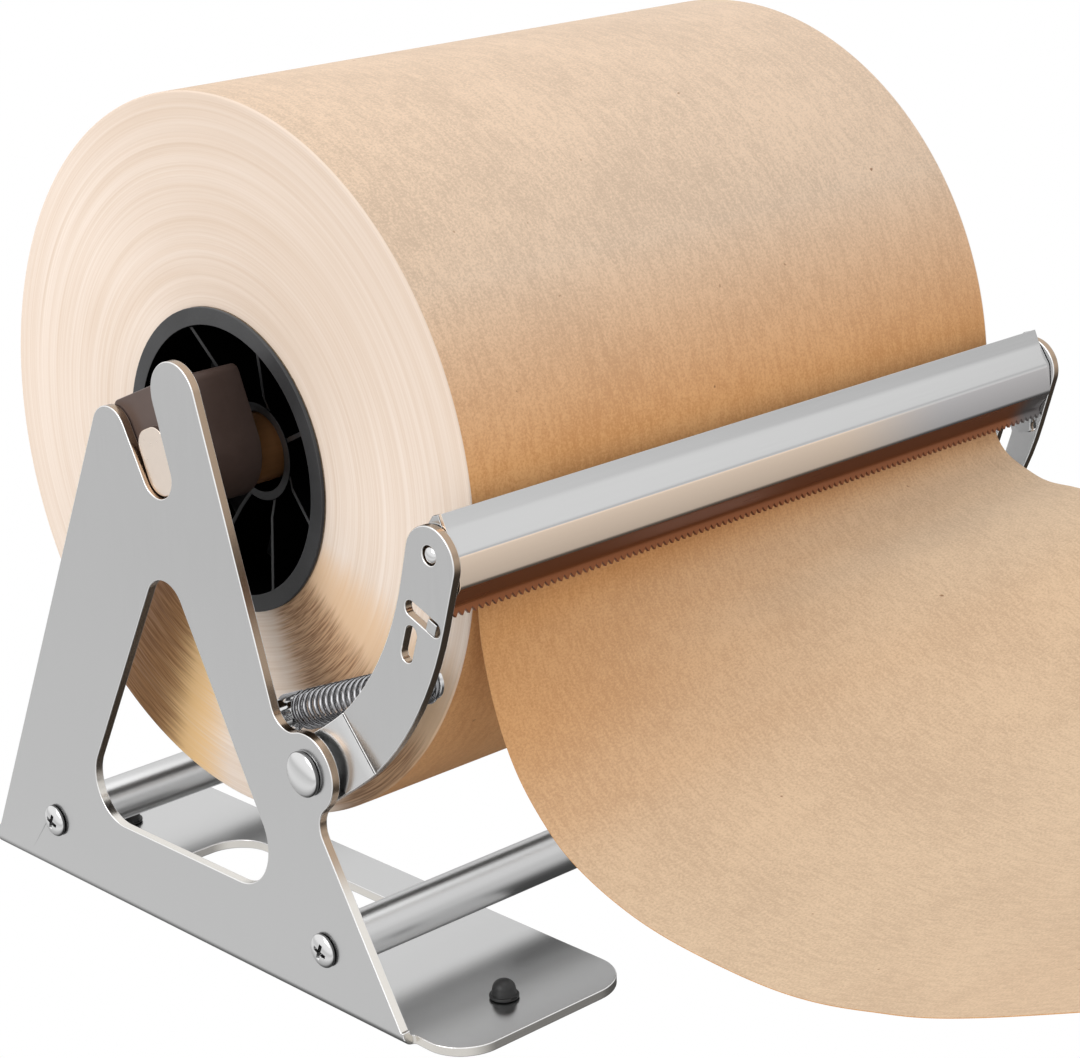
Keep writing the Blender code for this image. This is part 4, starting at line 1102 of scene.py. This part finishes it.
def sheet_grid():
    """Rows of (back point, front point, across, along) down the free sheet."""
    stations = round(SHEET_LENGTH / SHEET_STEP)
    left = even_edge(LEFT_EDGE, SHEET_LENGTH, stations)
    right = even_edge(RIGHT_EDGE, SHEET_LENGTH, stations)
    rows = []
    for index in range(stations + 1):
        twist = (right[index] - left[index]).length
        half = 0.5 * math.sqrt(SHEET_WIDTH ** 2 - twist ** 2)
        row = []
        for span in range(SHEET_SPANS + 1):
            share = span / SHEET_SPANS
            before = left[max(index - 1, 0)].lerp(right[max(index - 1, 0)], share)
            after = left[min(index + 1, stations)].lerp(right[min(index + 1, stations)], share)
            tangent = (after - before).normalized()
            outward = Vector((tangent.y, -tangent.x))
            place = left[index].lerp(right[index], share)
            x = half * (2.0 * share - 1.0)
            front = place + outward * PAPER
            row.append((Vector((x, place.x, place.y)), Vector((x, front.x, front.y)),
                        share * SHEET_WIDTH * MM, index * SHEET_STEP * MM))
        rows.append(row)
    return rows


def sheet_piece(name, rows):
    """Closed thin solid through a run of the sheet's rows, with its flat size as its UV map."""
    body = bmesh.new()
    layer = body.loops.layers.uv.new("flat")
    backs, fronts = ([[body.verts.new(cell[part]) for cell in row] for row in rows] for part in (0, 1))
    flat = {}
    for verts in (backs, fronts):
        for row, line in zip(rows, verts):
            flat.update((vertex, cell[2:]) for cell, vertex in zip(row, line))
        for first, second in zip(verts, verts[1:]):
            skin(body, first, second, closed=False)
    for end in (0, -1):
        skin(body, [row[end] for row in backs], [row[end] for row in fronts], closed=False)
        skin(body, backs[end], fronts[end], closed=False)
    for face in body.faces:
        for loop in face.loops:
            loop[layer].uv = flat[loop.vert]
    sheet = make_piece(name, body, [KRAFT_SHEET], None, "paper_sheet", smooth=50.0)
    sheet.visible_glossy = False
    return sheet


def add_sheet():
    """The free sheet in two pieces: the lead beside the roll, and the part below the teeth."""
    rows = sheet_grid()
    split = round(LEAD_LENGTH / SHEET_STEP)
    lead = sheet_piece("sheet_lead", rows[:split + 1])
    free = sheet_piece("free_sheet", rows[split:])
    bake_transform(lead)
    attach(free, "frame")
    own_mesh(free)


# ---- stage, light and camera

def add_floor():
    body = bmesh.new()
    corners = ((-1, -1), (1, -1), (1, 1), (-1, 1))
    body.faces.new([body.verts.new((x * FLOOR_HALF, y * FLOOR_HALF, 0.0)) for x, y in corners])
    floor = meshed("floor", body)
    material, tree, shader = new_material("pale_floor")
    feed(tree, shader, Base_Color=(0.6, 0.6, 0.6), Roughness=1.0, Specular_IOR_Level=0.0)
    white = add_node(tree, "Emission", Color=WHITE, Strength=1.0)
    camera_ray = add_node(tree, "LightPath").outputs["Is Camera Ray"]
    both = add_node(tree, "MixShader", i0=camera_ray, i1=shader.outputs[0], i2=white.outputs[0])
    feed(tree, tree.nodes["Material Output"], Surface=both.outputs[0])
    floor.data.materials.append(material)
    floor.visible_glossy = False


def add_world():
    """White studio that falls off low down and towards the right, so that steel has contrast."""
    world = bpy.data.worlds.new("studio")
    world.use_nodes = True
    bpy.context.scene.world = world
    tree = world.node_tree
    background = tree.nodes["Background"]
    place = mapped(tree, "Generated")
    tilt = vectors(tree, 'DOT_PRODUCT', place, (-STUDIO_TILT, 0.0, 1.0)).outputs["Value"]
    ramp = add_node(tree, "ValToRGB", Fac=spread(tree, tilt, -1.0, 1.0))
    for index, (height, value) in enumerate(STUDIO_STOPS):
        position = 0.5 * (height + 1.0)
        element = ramp.color_ramp.elements[index] if index < 2 else ramp.color_ramp.elements.new(position)
        element.position = position
        element.color = (value, value, value, 1.0)
    camera_ray = add_node(tree, "LightPath").outputs["Is Camera Ray"]
    feed(tree, background, Color=mix(tree, camera_ray, ramp.outputs[0], WHITE), Strength=1.0)


def add_area(name, place, size, power):
    light = bpy.data.lights.new(name, 'AREA')
    light.shape = 'SQUARE'
    light.size = size
    light.energy = power
    obj = placed(name, light)
    obj.location = place
    obj.rotation_euler = (Vector(LAMP_TARGET) - Vector(place)).to_track_quat('-Z', 'Y').to_euler()


def add_camera():
    azimuth, elevation, roll = (math.radians(value) for value in CAMERA_ANGLES)
    back = Vector((math.sin(azimuth) * math.cos(elevation), -math.cos(azimuth) * math.cos(elevation),
                   math.sin(elevation)))
    level = Vector((0.0, 0.0, 1.0)).cross(back).normalized()
    upright = back.cross(level)
    right = level * math.cos(roll) + upright * math.sin(roll)
    up = upright * math.cos(roll) - level * math.sin(roll)
    camera = bpy.data.cameras.new("camera")
    camera.lens = CAMERA_LENS
    camera.sensor_width = SENSOR
    camera.clip_start, camera.clip_end = 0.05, 60.0
    obj = placed("camera", camera)
    axle = Vector((0.0, ORIGIN.y, ORIGIN.z + AXLE[1] * MM))
    place = Matrix((right, up, back)).transposed().to_4x4()
    place.translation = axle + Vector(CAMERA_FROM_AXLE)
    obj.matrix_world = place
    bpy.context.scene.camera = obj


# ---- assembly

for name, (y, z) in TIE_BARS.items():
    add_tie_bar(name, y, z)
for name, side in SIDES.items():
    add_side_plate(name, side)
    for row, (y, z) in TIE_BARS.items():
        add_screw(row, name, side, y, z)
    for row, y in zip(("front", "rear"), FOOT_Y):
        add_foot(row, name, side, y)
    add_rivet(name, side)
    add_washer(name, side)
    add_post("frame_spring_post_" + name, side, PLATE_INNER - GAP, SPRING_FRAME, "frame",
             "spring_post_frame_" + name)
    add_post("arm_spring_post_" + name, side, ARM_OUTER - ARM_STEEL - GAP, SPRING_ARM, "cutter",
             "spring_post_arm_" + name)
    add_spring(name, side)
    add_arm(name, side)
    add_end_plate(name, side)
    add_pin(name, side)
    add_block(name, side)
    add_plug(name, side)
add_bar()
add_axle()
add_roll()
add_sheet()

add_floor()
add_world()
for lamp in LAMPS:
    add_area(*lamp)
add_camera()
bpy.context.scene.view_settings.view_transform = 'Standard'
